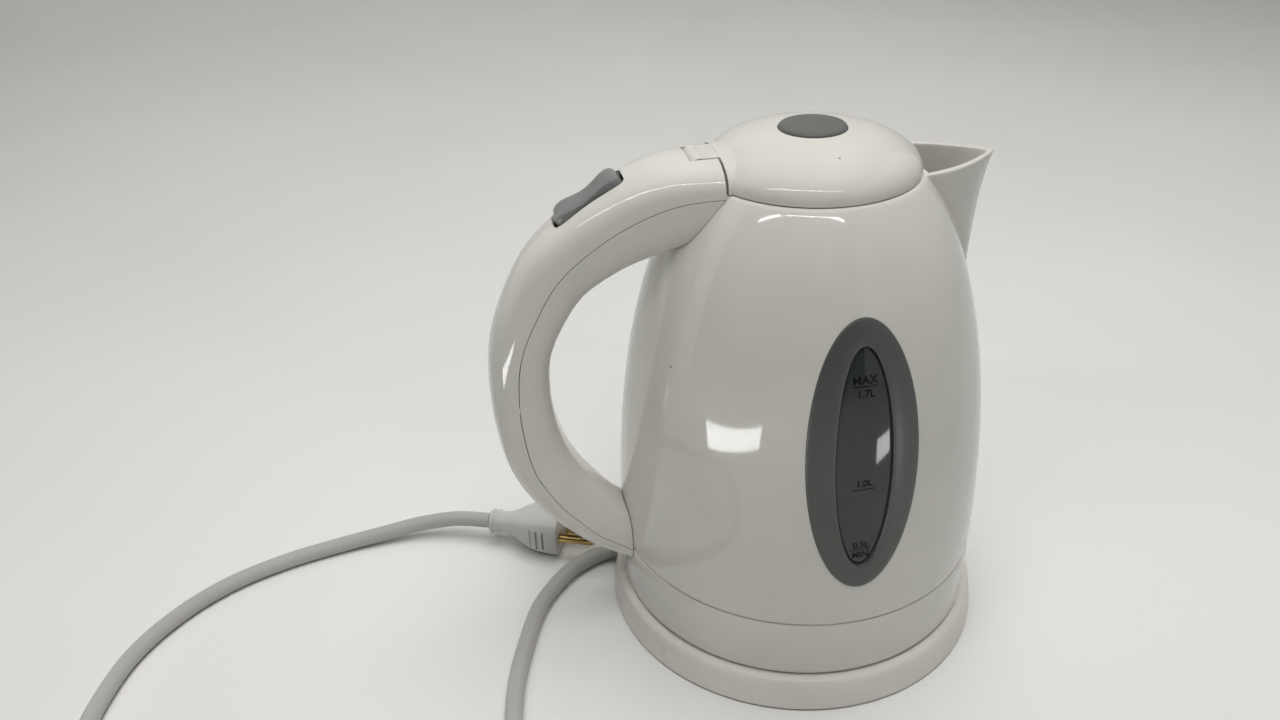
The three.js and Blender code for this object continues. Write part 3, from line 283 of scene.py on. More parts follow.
def apply_modifiers(piece):
    graph = bpy.context.evaluated_depsgraph_get()
    made = bpy.data.meshes.new_from_object(piece.evaluated_get(graph))
    piece.modifiers.clear()
    old = piece.data
    piece.data = made
    bpy.data.meshes.remove(old)


def soften(piece, width, segments=2, angle=40):
    """Rounds the crisp edges so that they catch the light as moulded ones do."""
    bevel = piece.modifiers.new("edges", "BEVEL")
    bevel.width = width * MM
    bevel.segments = segments
    bevel.limit_method = "ANGLE"
    bevel.angle_limit = math.radians(angle)
    bevel.use_clamp_overlap = True
    return piece


# ---------------------------------------------------------------- materials

class Nodes:
    """A small builder for one material's node tree."""

    def __init__(self, name):
        self.material = bpy.data.materials.new(name)
        self.material.use_nodes = True
        self.tree = self.material.node_tree
        self.shader = self.tree.nodes["Principled BSDF"]
        self.place = self.add("ShaderNodeTexCoord").outputs["Object"]

    def add(self, kind, **settings):
        node = self.tree.nodes.new(kind)
        for key, value in settings.items():
            setattr(node, key, value)
        return node

    def join(self, output, socket):
        self.tree.links.new(output, socket)

    def noise(self, scale, detail=3, rough=0.55, stretch=None):
        node = self.add("ShaderNodeTexNoise")
        node.inputs["Scale"].default_value = scale
        node.inputs["Detail"].default_value = detail
        node.inputs["Roughness"].default_value = rough
        place = self.place
        if stretch:
            mapping = self.add("ShaderNodeMapping")
            mapping.inputs["Scale"].default_value = stretch
            mapping.inputs["Rotation"].default_value = (0.3, 0.5, 0.2)
            self.join(place, mapping.inputs["Vector"])
            place = mapping.outputs["Vector"]
        self.join(place, node.inputs["Vector"])
        return node.outputs["Fac"]

    def remap(self, value, low, high, to_low=0.0, to_high=1.0):
        node = self.add("ShaderNodeMapRange")
        for index, number in enumerate((low, high, to_low, to_high), start=1):
            node.inputs[index].default_value = number
        self.join(value, node.inputs[0])
        return node.outputs[0]

    def mix(self, factor, first, second):
        node = self.add("ShaderNodeMix", data_type="RGBA")
        self.join(factor, node.inputs["Factor"])
        for socket, colour in ((node.inputs[6], first), (node.inputs[7], second)):
            if isinstance(colour, tuple):
                socket.default_value = (*colour[:3], 1)
            else:
                self.join(colour, socket)
        return node.outputs[2]

    def maths(self, operation, first, second):
        node = self.add("ShaderNodeMath", operation=operation)
        for socket, value in zip(node.inputs, (first, second)):
            if isinstance(value, (int, float)):
                socket.default_value = value
            else:
                self.join(value, socket)
        return node.outputs[0]

    def specks(self, scale, size):
        """Sparse little marks: 1 inside a mark, 0 elsewhere."""
        cells = self.add("ShaderNodeTexVoronoi")
        cells.inputs["Scale"].default_value = scale
        self.join(self.place, cells.inputs["Vector"])
        near = self.remap(cells.outputs["Distance"], size, size * 0.6)
        some = self.remap(self.noise(scale * 0.37, 1), 0.56, 0.58)
        return self.maths("MULTIPLY", near, some)

    def bump(self, height, strength, distance):
        node = self.add("ShaderNodeBump")
        node.inputs["Strength"].default_value = strength
        node.inputs["Distance"].default_value = distance
        self.join(height, node.inputs["Height"])
        self.join(node.outputs["Normal"], self.shader.inputs["Normal"])


def plastic(name, colour, roughness, grain=900, depth=0.00002, marks=0.0, scuffs=0.06,
            specular=0.5):
    """Moulded plastic: faint clouding, handling haze, fine scuffs, small marks and a moulded grain."""
    made = Nodes(name)
    dark = tuple(c * 0.94 for c in colour)
    light = tuple(min(1, c * 1.03) for c in colour)
    tone = made.mix(made.remap(made.noise(14, 3), 0.35, 0.65), dark, light)
    if marks:
        tone = made.mix(
            made.maths("MULTIPLY", made.specks(75, 0.045), marks), tone, (0.05, 0.045, 0.04)
        )
    made.join(tone, made.shader.inputs["Base Color"])
    haze = made.remap(made.noise(40, 5), 0.3, 0.7, roughness * 0.88, roughness * 1.15)
    lines = made.remap(made.noise(60, 2, stretch=(18, 1.2, 1.5)), 0.66, 0.72, 0, scuffs)
    made.join(made.maths("ADD", haze, lines), made.shader.inputs["Roughness"])
    made.bump(made.noise(grain, 3), 0.35, depth)
    made.shader.inputs["Specular IOR Level"].default_value = specular
    return made.material


def metal(name, colour, roughness, stretch=(1, 1, 40)):
    """Drawn or brushed metal with a streaked finish and dull patches."""
    made = Nodes(name)
    streaks = made.noise(90, 4, stretch=stretch)
    tone = made.mix(made.remap(streaks, 0.3, 0.7), tuple(c * 0.82 for c in colour), colour)
    tarnish = made.remap(made.noise(55, 4), 0.55, 0.7, 0, 0.55)
    tone = made.mix(tarnish, tone, tuple(c * 0.6 for c in colour))
    made.join(tone, made.shader.inputs["Base Color"])
    made.join(made.remap(streaks, 0.2, 0.8, roughness * 0.7, roughness * 1.4),
              made.shader.inputs["Roughness"])
    made.shader.inputs["Metallic"].default_value = 1.0
    made.bump(streaks, 0.25, 0.00002)
    return made.material


def smoked(name, colour, roughness, clear):
    """Smoked clear plastic, a little cloudy, with a fine scale film."""
    made = Nodes(name)
    film = made.remap(made.noise(30, 5), 0.35, 0.7)
    tone = made.mix(film, tuple(c * 0.9 for c in colour), tuple(c * 1.12 for c in colour))
    made.join(tone, made.shader.inputs["Base Color"])
    made.join(made.remap(made.noise(120, 4), 0.3, 0.7, roughness * 0.7, roughness * 1.5),
              made.shader.inputs["Roughness"])
    made.shader.inputs["Transmission Weight"].default_value = clear
    made.shader.inputs["IOR"].default_value = 1.49
    made.bump(made.noise(300, 2), 0.2, 0.00001)
    return made.material


WHITE = plastic("white_gloss", (0.70, 0.695, 0.65), 0.06, marks=0.9, grain=120, depth=0.000002, scuffs=0.1)
BASE_WHITE = plastic("base_white", (0.79, 0.775, 0.72), 0.3, marks=0.8, grain=1500, depth=0.00003)
INNER_WHITE = plastic("inner_white", (0.76, 0.75, 0.71), 0.42, grain=1200, depth=0.00003)
CORD_WHITE = plastic("cord_white", (0.46, 0.457, 0.438), 0.42, grain=1400, depth=0.00004, marks=0.5)
PLUG_WHITE = plastic("plug_white", (0.60, 0.597, 0.575), 0.36, grain=1300, depth=0.00003, marks=0.5)
BEZEL_GREY = plastic("bezel_grey", (0.082, 0.084, 0.081), 0.32, grain=1700, depth=0.00003, scuffs=0.1)
BUTTON_GREY = plastic("button_grey", (0.142, 0.146, 0.142), 0.4, grain=1700, depth=0.00004, scuffs=0.1)
INK = plastic("ink", (0.004, 0.004, 0.0045), 0.6, specular=0.15)
SILICONE = plastic("silicone", (0.62, 0.64, 0.63), 0.55, grain=700, depth=0.00003)
RUBBER = plastic("rubber", (0.028, 0.028, 0.03), 0.75, grain=600, depth=0.00008)
BLACK = plastic("black_plastic", (0.02, 0.02, 0.022), 0.45, grain=1300, depth=0.00004)
STEEL = metal("steel", (0.56, 0.57, 0.58), 0.3)
ALUMINIUM = metal("aluminium", (0.5, 0.51, 0.52), 0.42, (30, 1, 1))
BRASS = metal("brass", (0.62, 0.43, 0.17), 0.27, (1, 1, 22))
LENS_SMOKE = smoked("window_smoke", (0.042, 0.048, 0.052), 0.05, 0.12)
ROCKER_SMOKE = smoked("rocker_smoke", (0.29, 0.305, 0.3), 0.16, 0.3)
LAMP_GLASS = smoked("lamp_glass", (0.75, 0.42, 0.26), 0.08, 0.7)

CAD_LOOKS = {
    "base_hub": BASE_WHITE, "base_foot": RUBBER, "base_screw": STEEL, "base_connector": BLACK,
    "base_centre_contact": BRASS, "base_ring_contact": BRASS, "cover_screw": STEEL,
    "plate_clamp_ring": ALUMINIUM, "heating_plate": STEEL, "plate_seal": SILICONE,
    "heating_element": ALUMINIUM, "jug_control": BLACK, "jug_connector": BLACK,
    "jug_centre_pin": BRASS, "jug_ring_contact": BRASS, "filter_frame": INNER_WHITE,
    "filter_mesh": STEEL, "lid_hinge_pin": STEEL, "rocker_pin": STEEL, "switch_housing": BLACK,
    "bimetal_disc": STEEL, "pilot_lamp": LAMP_GLASS, "switch_harness": BLACK,
    "lid_liner": INNER_WHITE, "lid_seal": SILICONE, "button_spring": STEEL,
    "latch_bolt": INNER_WHITE,
}


def dress(piece, material, body, slot, *replaced):
    """Gives a new piece its material and the body it rides on, and hides the CAD nodes it stands for."""
    piece.data.materials.clear()
    piece.data.materials.append(material)
    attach(piece, body)
    if replaced:
        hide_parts(*replaced)
    return piece


def dress_cad_nodes():
    """Every CAD node that stays shown gets a finished material and small rounded edges."""
    for name, node in nodes.items():
        look = next((m for key, m in CAD_LOOKS.items() if name.startswith(key)), None)
        if look is None or node.hide_render:
            continue
        node.data.materials.clear()
        node.data.materials.append(look)
        smooth(node, 40)
        soften(node, 0.15, segments=1, angle=50)


# ---------------------------------------------------------------- side surface of the jug

CURVE_HEIGHT = (RIM_Z - SEAM_Z) / (1 - (RIM_RADIUS / BODY_RADIUS) ** BODY_CURVE) ** (1 / BODY_CURVE)


def body_radius(z):
    rise = np.clip((np.asarray(z, float) - SEAM_Z) / CURVE_HEIGHT, 0, 0.999)
    return BODY_RADIUS * (1 - rise**BODY_CURVE) ** (1 / BODY_CURVE)


def offset_radius(z, offset):
    slope = body_radius(np.asarray(z) + 0.5) - body_radius(np.asarray(z) - 0.5)
    return body_radius(z) + offset * np.hypot(1, slope)


def keel_radius(z):
    up = (z - SPOUT_LOW_Z) / (RIM_Z - SPOUT_LOW_Z)
    low = float(body_radius(SPOUT_LOW_Z)) - 1
    return low + 4.6 * up + (SPOUT_TIP - low - 4.6) * up**7


def spout_reach(z, angles, wall):
    """The spout's distance from the jug's axis at each angle, at one height, or 0 where there is none."""
    if z <= SPOUT_LOW_Z + 0.5:
        return np.zeros_like(angles)
    up = (z - SPOUT_LOW_Z) / (RIM_Z - SPOUT_LOW_Z)
    half_width = SPOUT_HALF_WIDTH * up**0.8 - wall
    if half_width < 0.6:
        return np.zeros_like(angles)
    radius = float(offset_radius(z, -wall))
    root = math.sqrt(max(radius**2 - half_width**2, 1))
    tip = keel_radius(z) - 1.1 * wall
    t = np.linspace(-0.35, 1, 140)
    x = root + (tip - root) * t
    y = half_width * (1 - np.sign(t) * np.abs(t) ** SPOUT_POINT)
    around = np.arctan2(y, x)
    turn = np.sqrt(angles**2 + 0.012**2)
    return np.interp(turn, around[::-1], np.hypot(x, y)[::-1], right=0)


def soft_max(a, b, blend):
    h = np.maximum(blend - np.abs(a - b), 0) / blend
    return np.maximum(a, b) + h * h * blend / 4


def shell_radius(z, angles, wall):
    """Outer skin of the jug with its spout where wall is 0, inner skin where it is the thickness."""
    side = np.full_like(angles, float(offset_radius(z, -wall if wall else 0)))
    spout = spout_reach(z, angles, SPOUT_WALL if wall else 0)
    return np.where(spout > 1, soft_max(side, spout, 1.6), side)


def shell_angles():
    """Angles round the jug, closer together over the spout."""
    fine = np.radians(np.arange(-33, 33.01, 0.6))
    coarse = np.radians(np.arange(35, 325.1, 2.0))
    return np.concatenate([fine, coarse])


def make_body_shell():
    angles = shell_angles()
    folded = np.abs((angles + math.pi) % (2 * math.pi) - math.pi)
    heights = np.concatenate([
        np.linspace(SEAM_Z + GAP / 2, SPOUT_LOW_Z, 54, endpoint=False),
        np.linspace(SPOUT_LOW_Z, RIM_Z - 1.0, 58),
    ])
    lip = [(RIM_Z - 0.5, 0.12), (RIM_Z - 0.12, 0.45), (RIM_Z, 0.95)]
    outer = [(z, shell_radius(z, folded, 0)) for z in heights]
    inner = [(z, shell_radius(z, folded, BODY_WALL)) for z in heights]
    top_out = [(z, shell_radius(z, folded, 0) - inset) for z, inset in lip]
    top_in = [(z, shell_radius(z, folded, BODY_WALL) + inset) for z, inset in lip]
    bottom = [(heights[0] + 0.55, outer[0][1]), (heights[0], outer[0][1] - 0.5)]
    outer[0] = bottom[0]
    loop = [bottom[1]] + outer + top_out + top_in[::-1] + inner[::-1]
    rows = [
        [(r * math.cos(a), r * math.sin(a), z) for r, a in zip(radii, angles)]
        for z, radii in loop
    ]
    size = len(angles)
    count = len(rows)
    faces = rows_to_faces(count, size)
    faces += [(i, (i + 1) % size, (count - 1) * size + (i + 1) % size, (count - 1) * size + i)
              for i in range(size)]
    points = [p for row in rows for p in row]
    kept, rims = window_openings(points, faces, 1, len(heights), count, size)
    piece = mesh_piece("body_shell_fine", points, kept + rims, 50)
    return dress(piece, WHITE, "jug", "white", "body_shell")


def window_openings(points, faces, first, rows, count, size):
    """Leaves out the faces behind the windows and walls the openings' edges."""
    def hidden(face):
        x, y, z = np.mean([points[i] for i in face], axis=0)
        spread = (x / (BEZEL_HALF_WIDTH - 5)) ** 2 + ((z - WINDOW_Z) / (BEZEL_HALF_HEIGHT - 5)) ** 2
        return spread < 1 and abs(y) > 40
    gone = [face for face in faces if hidden(face)]
    kept = [face for face in faces if not hidden(face)]
    uses = {}
    for face in gone:
        for a, b in zip(face, face[1:] + face[:1]):
            key = (min(a, b), max(a, b))
            uses[key] = uses.get(key, 0) + 1
    rims = []
    for (a, b), times in uses.items():
        row_a, row_b = a // size, b // size
        if times != 1 or not first <= row_a < first + rows or not first <= row_b < first + rows:
            continue
        inner_a = (count - 1 - (row_a - first)) * size + a % size
        inner_b = (count - 1 - (row_b - first)) * size + b % size
        rims.append((a, b, inner_b, inner_a))
    return kept, rims


# ---------------------------------------------------------------- windows

def on_side(x, z, offset, side):
    radius = float(offset_radius(z, offset))
    return (x, side * math.sqrt(max(radius**2 - x**2, 0)), z)


def ellipse_row(half_width, half_height, offset, side, count=144):
    angles = np.linspace(0, 2 * math.pi, count, endpoint=False)
    return [
        on_side(half_width * math.cos(a), WINDOW_Z + half_height * math.sin(a), offset, side)
        for a in angles
    ]


def make_bezel(name, side):
    w, h = BEZEL_HALF_WIDTH, BEZEL_HALF_HEIGHT
    a, b = LENS_HALF_WIDTH, LENS_HALF_HEIGHT
    profile = [
        (w, h, -2.2), (w, h, 0.1), (w - 0.12, h - 0.12, BEZEL_PROUD - 0.18),
        (w - 0.45, h - 0.45, BEZEL_PROUD), (w - 3, h - 3, BEZEL_PROUD),
        (a + 5, b + 4.4, BEZEL_PROUD), (a + 0.9, b + 0.9, BEZEL_PROUD),
        (a + 0.35, b + 0.35, BEZEL_PROUD - 0.15), (a, b, 0.0), (a, b, -2.2),
    ]
    rows = [ellipse_row(*row, side) for row in profile]
    piece = lofted(f"{name}_bezel_fine", rows, ring=True, sharp=55)
    return dress(piece, BEZEL_GREY, "jug", "bezel_grey", f"{name}_bezel")


def make_lens(name, side):
    a, b = LENS_HALF_WIDTH - 0.12, LENS_HALF_HEIGHT - 0.12
    edge = [(1, 0.45), (0.985, 0.12)]
    shares = (0.96, 0.88, 0.75, 0.6, 0.45, 0.3, 0.15, 0.02)
    steps = edge + [(share, 0) for share in shares]
    front = [ellipse_row(a * s, b * s, -LENS_SUNK - drop, side) for s, drop in steps]
    back = [ellipse_row(a * s, b * s, -BODY_WALL - 0.5, side) for s, _ in steps]
    wide, high = BEZEL_HALF_WIDTH - 1.6, BEZEL_HALF_HEIGHT - 1.6
    flange = [
        ellipse_row(w, h, -BODY_WALL - depth, side)
        for w, h, depth in ((a, b, 0.05), (wide, high, 0.05), (wide, high, 1.15), (a, b, 1.15))
    ]
    rows = front[::-1] + flange + back[1:]
    piece = lofted(f"{name}_lens_fine", rows, sharp=40)
    return dress(piece, LENS_SMOKE, "jug", "window_smoke", f"{name}_lens")


def mark_text(words, size, x, z):
    """Flat letters round a place on the window: (points, faces) in millimetres."""
    curve = bpy.data.curves.new("letters", "FONT")
    curve.body = words
    curve.size = size
    curve.align_x = "CENTER"
    curve.resolution_u = 3
    curve.offset = 0.11
    letters = bpy.data.objects.new("letters", curve)
    bpy.context.scene.collection.objects.link(letters)
    graph = bpy.context.evaluated_depsgraph_get()
    mesh = bpy.data.meshes.new_from_object(letters.evaluated_get(graph))
    points = [(v.co.x + x, v.co.y + z) for v in mesh.vertices]
    faces = [tuple(p.vertices) for p in mesh.polygons]
    bpy.data.objects.remove(letters)
    return points, faces


def mark_line(half_length, z, thick=0.42):
    count = 8
    xs = np.linspace(-half_length, half_length, count)
    points = [(x, z) for x in xs] + [(x, z + thick) for x in xs]
    faces = [(i, i + 1, count + i + 1, count + i) for i in range(count - 1)]
    return points, faces


# Words, letter height, place across and height above the table; then lines' half length and height.
LEVEL_WORDS = [
    ("MAX", 4.6, 0, 154.0), ("1.7L", 4.2, 0.2, 148.9), ("1.0L", 3.9, 0, 112.2),
    ("0.5L", 3.9, 0, 83.6), ("MIN", 3.9, 0, 78.9),
]
LEVEL_LINES = [(4.7, 152.9), (4.5, 110.6), (4.0, 82.5)]


def make_level_marks(name, side):
    """The printed levels: MAX over 1.7L, 1.0L, and 0.5L over MIN."""
    parts = [mark_text(*words) for words in LEVEL_WORDS] + [mark_line(*line) for line in LEVEL_LINES]
    points, faces = [], []
    for flat, polygons in parts:
        start = len(points)
        points += [on_side(-side * x, z, -LENS_SUNK + 0.04, side) for x, z in flat]
        faces += [tuple(start + i for i in polygon) for polygon in polygons]
    piece = mesh_piece(f"{name}_level_marks", points, faces)
    return dress(piece, INK, "jug", "black_plastic")


# ---------------------------------------------------------------- bottom cover and base

def make_bottom_cover():
    inner = BODY_RADIUS - COVER_WALL
    floor = JUG_BOTTOM + COVER_WALL
    top = SEAM_Z - GAP / 2
    hole = CONNECTOR_HOLE
    profile = [
        (hole, JUG_BOTTOM), (BODY_RADIUS - 3, JUG_BOTTOM), (BODY_RADIUS - 1.6, JUG_BOTTOM + 0.12),
        (BODY_RADIUS - 0.6, JUG_BOTTOM + 0.6), (BODY_RADIUS - 0.12, JUG_BOTTOM + 1.6),
        (BODY_RADIUS, JUG_BOTTOM + 3), (BODY_RADIUS, (JUG_BOTTOM + top) / 2),
        (BODY_RADIUS, top - 0.7), (BODY_RADIUS - 0.15, top - 0.25), (BODY_RADIUS - 0.55, top),
        (inner, top), (inner, floor), (hole, floor),
    ]
    piece = turned("bottom_cover_fine", profile, 200, sharp=50)
    low = JUG_BOTTOM - 2
    places = [screw_place(BOSS_CIRCLE, a) for a in SCREW_ANGLES]
    combine(piece, [cylinder(SCREW_HOLE_RADIUS, (*p, low), (*p, 30)) for p in places])
    combine(piece, [cylinder(SCREW_WELL_RADIUS, (*p, low), (*p, JUG_BOTTOM + 1.7)) for p in places])
    ends = [(-BODY_RADIUS + along, 0, WIRE_EXIT_Z) for along in (-13.3, 11.7)]
    combine(piece, [cylinder(WIRE_HOLE_RADIUS, *ends)])
    smooth(piece, 50)
    return dress(piece, WHITE, "jug", "white", "bottom_cover")


def screw_place(circle, degrees):
    return circle * math.cos(math.radians(degrees)), circle * math.sin(math.radians(degrees))


def make_base_cover():
    deck = BASE_HEIGHT - BASE_WALL
    hole = COLLAR_HOLE
    profile = [
        (BASE_RADIUS - BASE_WALL, SKIRT_LIFT + 0.3), (BASE_RADIUS - BASE_WALL + 0.3, SKIRT_LIFT),
        (BASE_RADIUS - 0.5, SKIRT_LIFT), (BASE_RADIUS - 0.05, SKIRT_LIFT + 0.4),
        (BASE_RADIUS - 0.3, SKIRT_LIFT + 2.2), (BASE_RADIUS - 1.1, SKIRT_LIFT + 8),
        (BASE_TOP_RADIUS + 1.9, BASE_HEIGHT - 3.0), (BASE_TOP_RADIUS + 1.55, BASE_HEIGHT - 1.5),
        (BASE_TOP_RADIUS + 0.9, BASE_HEIGHT - 0.6), (BASE_TOP_RADIUS, BASE_HEIGHT - 0.12),
        (BASE_TOP_RADIUS - 1.2, BASE_HEIGHT), (60, BASE_HEIGHT), (hole + 0.4, BASE_HEIGHT),
        (hole, BASE_HEIGHT - 0.4), (hole, deck), (BASE_TOP_RADIUS - BASE_WALL, deck),
    ]
    piece = turned("base_cover_fine", profile, 200, sharp=50)
    feet = [screw_place(FOOT_CIRCLE, a) for a in FOOT_ANGLES]
    bosses = [screw_place(HUB_SCREW_CIRCLE, a) for a in SCREW_ANGLES]
    combine(piece, [cylinder(6.6, (*p, 2.5), (*p, deck + 0.5)) for p in feet], "UNION")
    combine(piece, [cylinder(3.8, (*p, 3.3), (*p, deck + 0.5)) for p in bosses], "UNION")
    combine(piece, [cylinder(1.8, (*p, -1), (*p, 12)) for p in bosses])
    turn = Matrix.Rotation(NOTCH_ANGLE, 4, "Z")
    half = NOTCH_HALF_WIDTH
    combine(piece, [block((FOOT_CIRCLE, -half, -5), (BASE_RADIUS + 5, half, NOTCH_HEIGHT), turn)])
    smooth(piece, 40)
    return dress(piece, BASE_WHITE, "base", "base_white", "base_cover")


# ---------------------------------------------------------------- lid

def dome_profile(inset, count):
    rise = LID_TOP_Z - LID_EDGE_Z - inset
    angles = np.linspace(0, math.pi / 2, count)
    profile = [
        ((LID_RADIUS - inset) * math.cos(a) ** 0.82, LID_EDGE_Z + rise * math.sin(a) ** 0.95)
        for a in angles[:-1]
    ]
    return profile + [(0, LID_EDGE_Z + rise)]


def dome_body(inset, low, count=48, sides=180):
    side = dome_profile(inset, count)
    start = [(0, low), (LID_RADIUS - inset, low)] if low < LID_EDGE_Z else [(0, LID_EDGE_Z)]
    return turned("dome", start + side, sides, ring=False)


def half_section(half_width, height, power, count):
    angles = np.linspace(0, math.pi, count + 1)
    return [
        (half_width * math.copysign(abs(math.cos(a)) ** power, math.cos(a)),
         height * max(math.sin(a), 0) ** power)
        for a in angles
    ]


def neck_body():
    rows = []
    for forward in np.linspace(0, NECK_LENGTH, 12):
        x = -(RIM_RADIUS - LID_CUT) + forward
        width, height = NECK_HALF_WIDTH - forward * 0.1, NECK_HEIGHT + forward * 0.12
        outline = half_section(width, height, 0.8, 48)
        rows.append([(x, u, LID_EDGE_Z + v) for u, v in outline])
    return lofted("neck", rows)


def make_lid_dome():
    back = -(RIM_RADIUS - LID_CUT)
    half = TONGUE_HALF_WIDTH
    piece = dome_body(0, LID_EDGE_Z)
    piece.name = "lid_dome_fine"
    combine(piece, [neck_body()], "UNION")
    combine(piece, [block((-80, -60, RIM_Z - 5), (back, 60, RIM_Z + 40))])
    arm = block((HINGE_X, -half, HINGE_Z - 1), (back + 3, half, HINGE_Z + BARREL_RADIUS - 0.3))
    barrel = cylinder(BARREL_RADIUS, (HINGE_X, -half, HINGE_Z), (HINGE_X, half, HINGE_Z))
    combine(piece, [arm, barrel], "UNION")
    hollow = dome_body(LID_WALL, LID_EDGE_Z - 2, 32, 120)
    combine(hollow, [block((-80, -60, 0), (-LINER_RADIUS - GAP, 60, 400))])
    hole = cylinder(BUTTON_RADIUS + 0.35, (0, 0, LID_EDGE_Z), (0, 0, LID_TOP_Z + 5), 96)
    pin = cylinder(HINGE_HOLE_RADIUS, (HINGE_X, -20, HINGE_Z), (HINGE_X, 20, HINGE_Z))
    combine(piece, [hollow, hole, pin])
    smooth(piece, 32)
    soften(piece, 0.35, angle=50)
    return dress(piece, WHITE, "lid", "white", "lid_dome")


def make_button():
    r, top = BUTTON_RADIUS, BUTTON_TOP_Z
    profile = [
        (0, top - 2.6), (r - 2, top - 2.6), (r - 2, top - BUTTON_SKIRT), (r, top - BUTTON_SKIRT),
        (r, top - 1.3),
        (r - 0.15, top - 0.8), (r - 0.6, top - 0.38), (r - 1.4, top - 0.24), (r * 0.6, top - 0.08),
        (r * 0.3, top - 0.01), (0, top),
    ]
    piece = turned("lid_button_fine", profile, 120, ring=False, sharp=60)
    return dress(piece, BUTTON_GREY, "button", "button_grey", "lid_button")


# ---------------------------------------------------------------- handle

# Rows follow the seam from the rim down: share out, share up, half width, outer height, inner depth.
HANDLE_LINE = [
    (-0.1, 0.993, 22, 12.2, 21), (0.155, 0.984, 19.5, 13.2, 21), (0.342, 0.953, 17.2, 13.6, 20),
    (0.54, 0.902, 16, 13.6, 17.5), (0.752, 0.819, 15.2, 13.4, 14.8), (0.888, 0.715, 15, 12.6, 13.4),
    (0.969, 0.623, 15, 11.6, 13.4), (1, 0.517, 15, 11, 14), (0.994, 0.404, 15, 10.8, 15),
    (0.95, 0.286, 15, 10.6, 16.4), (0.84, 0.181, 15, 10.4, 16), (0.739, 0.116, 15, 9.8, 15.6),
    (0.627, 0.056, 15, 9, 15), (0.41, -0.022, 14.6, 7.6, 14),
]


def catmull(points, t):
    """A point on a Catmull-Rom curve through all the points, at a share t of its spans."""
    points = [Vector(p) for p in points]
    spans = len(points) - 1
    place = min(max(t, 0), 1) * spans
    i = min(int(place), spans - 1)
    w = place - i
    before = points[i - 1] if i > 0 else points[0] * 2 - points[1]
    after = points[i + 2] if i + 2 <= spans else points[spans] * 2 - points[spans - 1]
    a, b = points[i], points[i + 1]
    steps = [max((q - p).length ** 0.5, 1e-6) for p, q in ((before, a), (a, b), (b, after))]
    t1 = ((a - before) / steps[0] - (b - before) / (steps[0] + steps[1]) + (b - a) / steps[1]) * steps[1]
    t2 = ((b - a) / steps[1] - (after - a) / (steps[1] + steps[2]) + (after - b) / steps[2]) * steps[1]
    cubic = (a * 2 - b * 2 + t1 + t2, b * 3 - a * 3 - t1 * 2 - t2)
    return a + t1 * w + cubic[1] * w * w + cubic[0] * w**3


SEAM_POINTS = [
    (-(RIM_RADIUS + out * (BODY_RADIUS + HANDLE_REACH - RIM_RADIUS)), 0, SEAM_Z + up * (RIM_Z - SEAM_Z))
    for out, up, *_ in HANDLE_LINE
]
SIZE_POINTS = [row[2:] for row in HANDLE_LINE]


def handle_frame(t):
    """X across the handle, Y outwards, Z along it towards the rim, on the seam line."""
    step = 0.002
    low, high = max(t - step, 0), min(t + step, 1)
    along = (catmull(SEAM_POINTS, low) - catmull(SEAM_POINTS, high)).normalized()
    across = Vector((0, 1, 0))
    outwards = along.cross(across).normalized()
    turn = Matrix((across, outwards, along)).transposed().to_4x4()
    return Matrix.Translation(catmull(SEAM_POINTS, t)) @ turn


def handle_half(side, wall, stations=72, count=40):
    rows = []
    for t in np.linspace(0, 1, stations + 1):
        half_width, height, depth = catmull(SIZE_POINTS, t)
        reach = height if side > 0 else depth
        power = 0.8 if side > 0 else 0.55
        place = handle_frame(t)
        skin = half_section(half_width, reach - GAP / 2, power, count)
        if wall:
            skin += half_section(half_width - wall, reach - wall - GAP / 2, power, count)[::-1]
        rows.append([place @ Vector((u, side * (v + GAP / 2), 0)) for u, v in skin])
    return lofted("handle_half", rows)


def body_plug(offset, low, high):
    heights = np.linspace(low, high, 48)
    profile = [(0, low)] + [(float(offset_radius(min(z, RIM_Z), offset)), z) for z in heights]
    return turned("plug", profile + [(0, high)], 160, ring=False)


def handle_clearance():
    cut_x = -(RIM_RADIUS - LID_CUT) - CUT_GAP
    return [
        body_plug(GAP, SEAM_Z, RIM_Z + GAP),
        cylinder(BODY_RADIUS + GAP, (0, 0, 0), (0, 0, SEAM_Z + 1), 160),
        block((cut_x, -60, RIM_Z - 30), (40, 60, RIM_Z + 40)),
    ]


rocker_frame = handle_frame(ROCKER_AT)
rocker_crest = catmull(SIZE_POINTS, ROCKER_AT)[1]


def make_handle_outer():
    piece = handle_half(1, HANDLE_WALL)
    piece.name = "handle_outer_fine"
    outer = TONGUE_HALF_WIDTH + 4.4
    boss = block((HINGE_X - 4.4, -outer, RIM_Z + GAP), (HINGE_X + 4.2, outer, HINGE_Z + 6))
    combine(boss, [handle_half(1, 0)], "INTERSECT")
    combine(piece, [boss], "UNION")
    combine(piece, handle_clearance())
    sweep, across = BARREL_RADIUS + 0.6, TONGUE_HALF_WIDTH + GAP + 0.1
    slot = block((HINGE_X - sweep, -across, RIM_Z - 8), (0, across, RIM_Z + 20))
    end = HINGE_HOLE_END
    pin = cylinder(HINGE_HOLE_RADIUS, (HINGE_X, -end, HINGE_Z), (HINGE_X, end, HINGE_Z))
    width, length = ROCKER_HALF_WIDTH + 0.4, ROCKER_HALF_LENGTH + 1.2
    opening = rocker_block(width, length, 1, rocker_crest + 8)
    combine(piece, [slot, pin, opening])
    smooth(piece, 32)
    soften(piece, 0.4, angle=48)
    return dress(piece, WHITE, "jug", "white", "handle_outer")


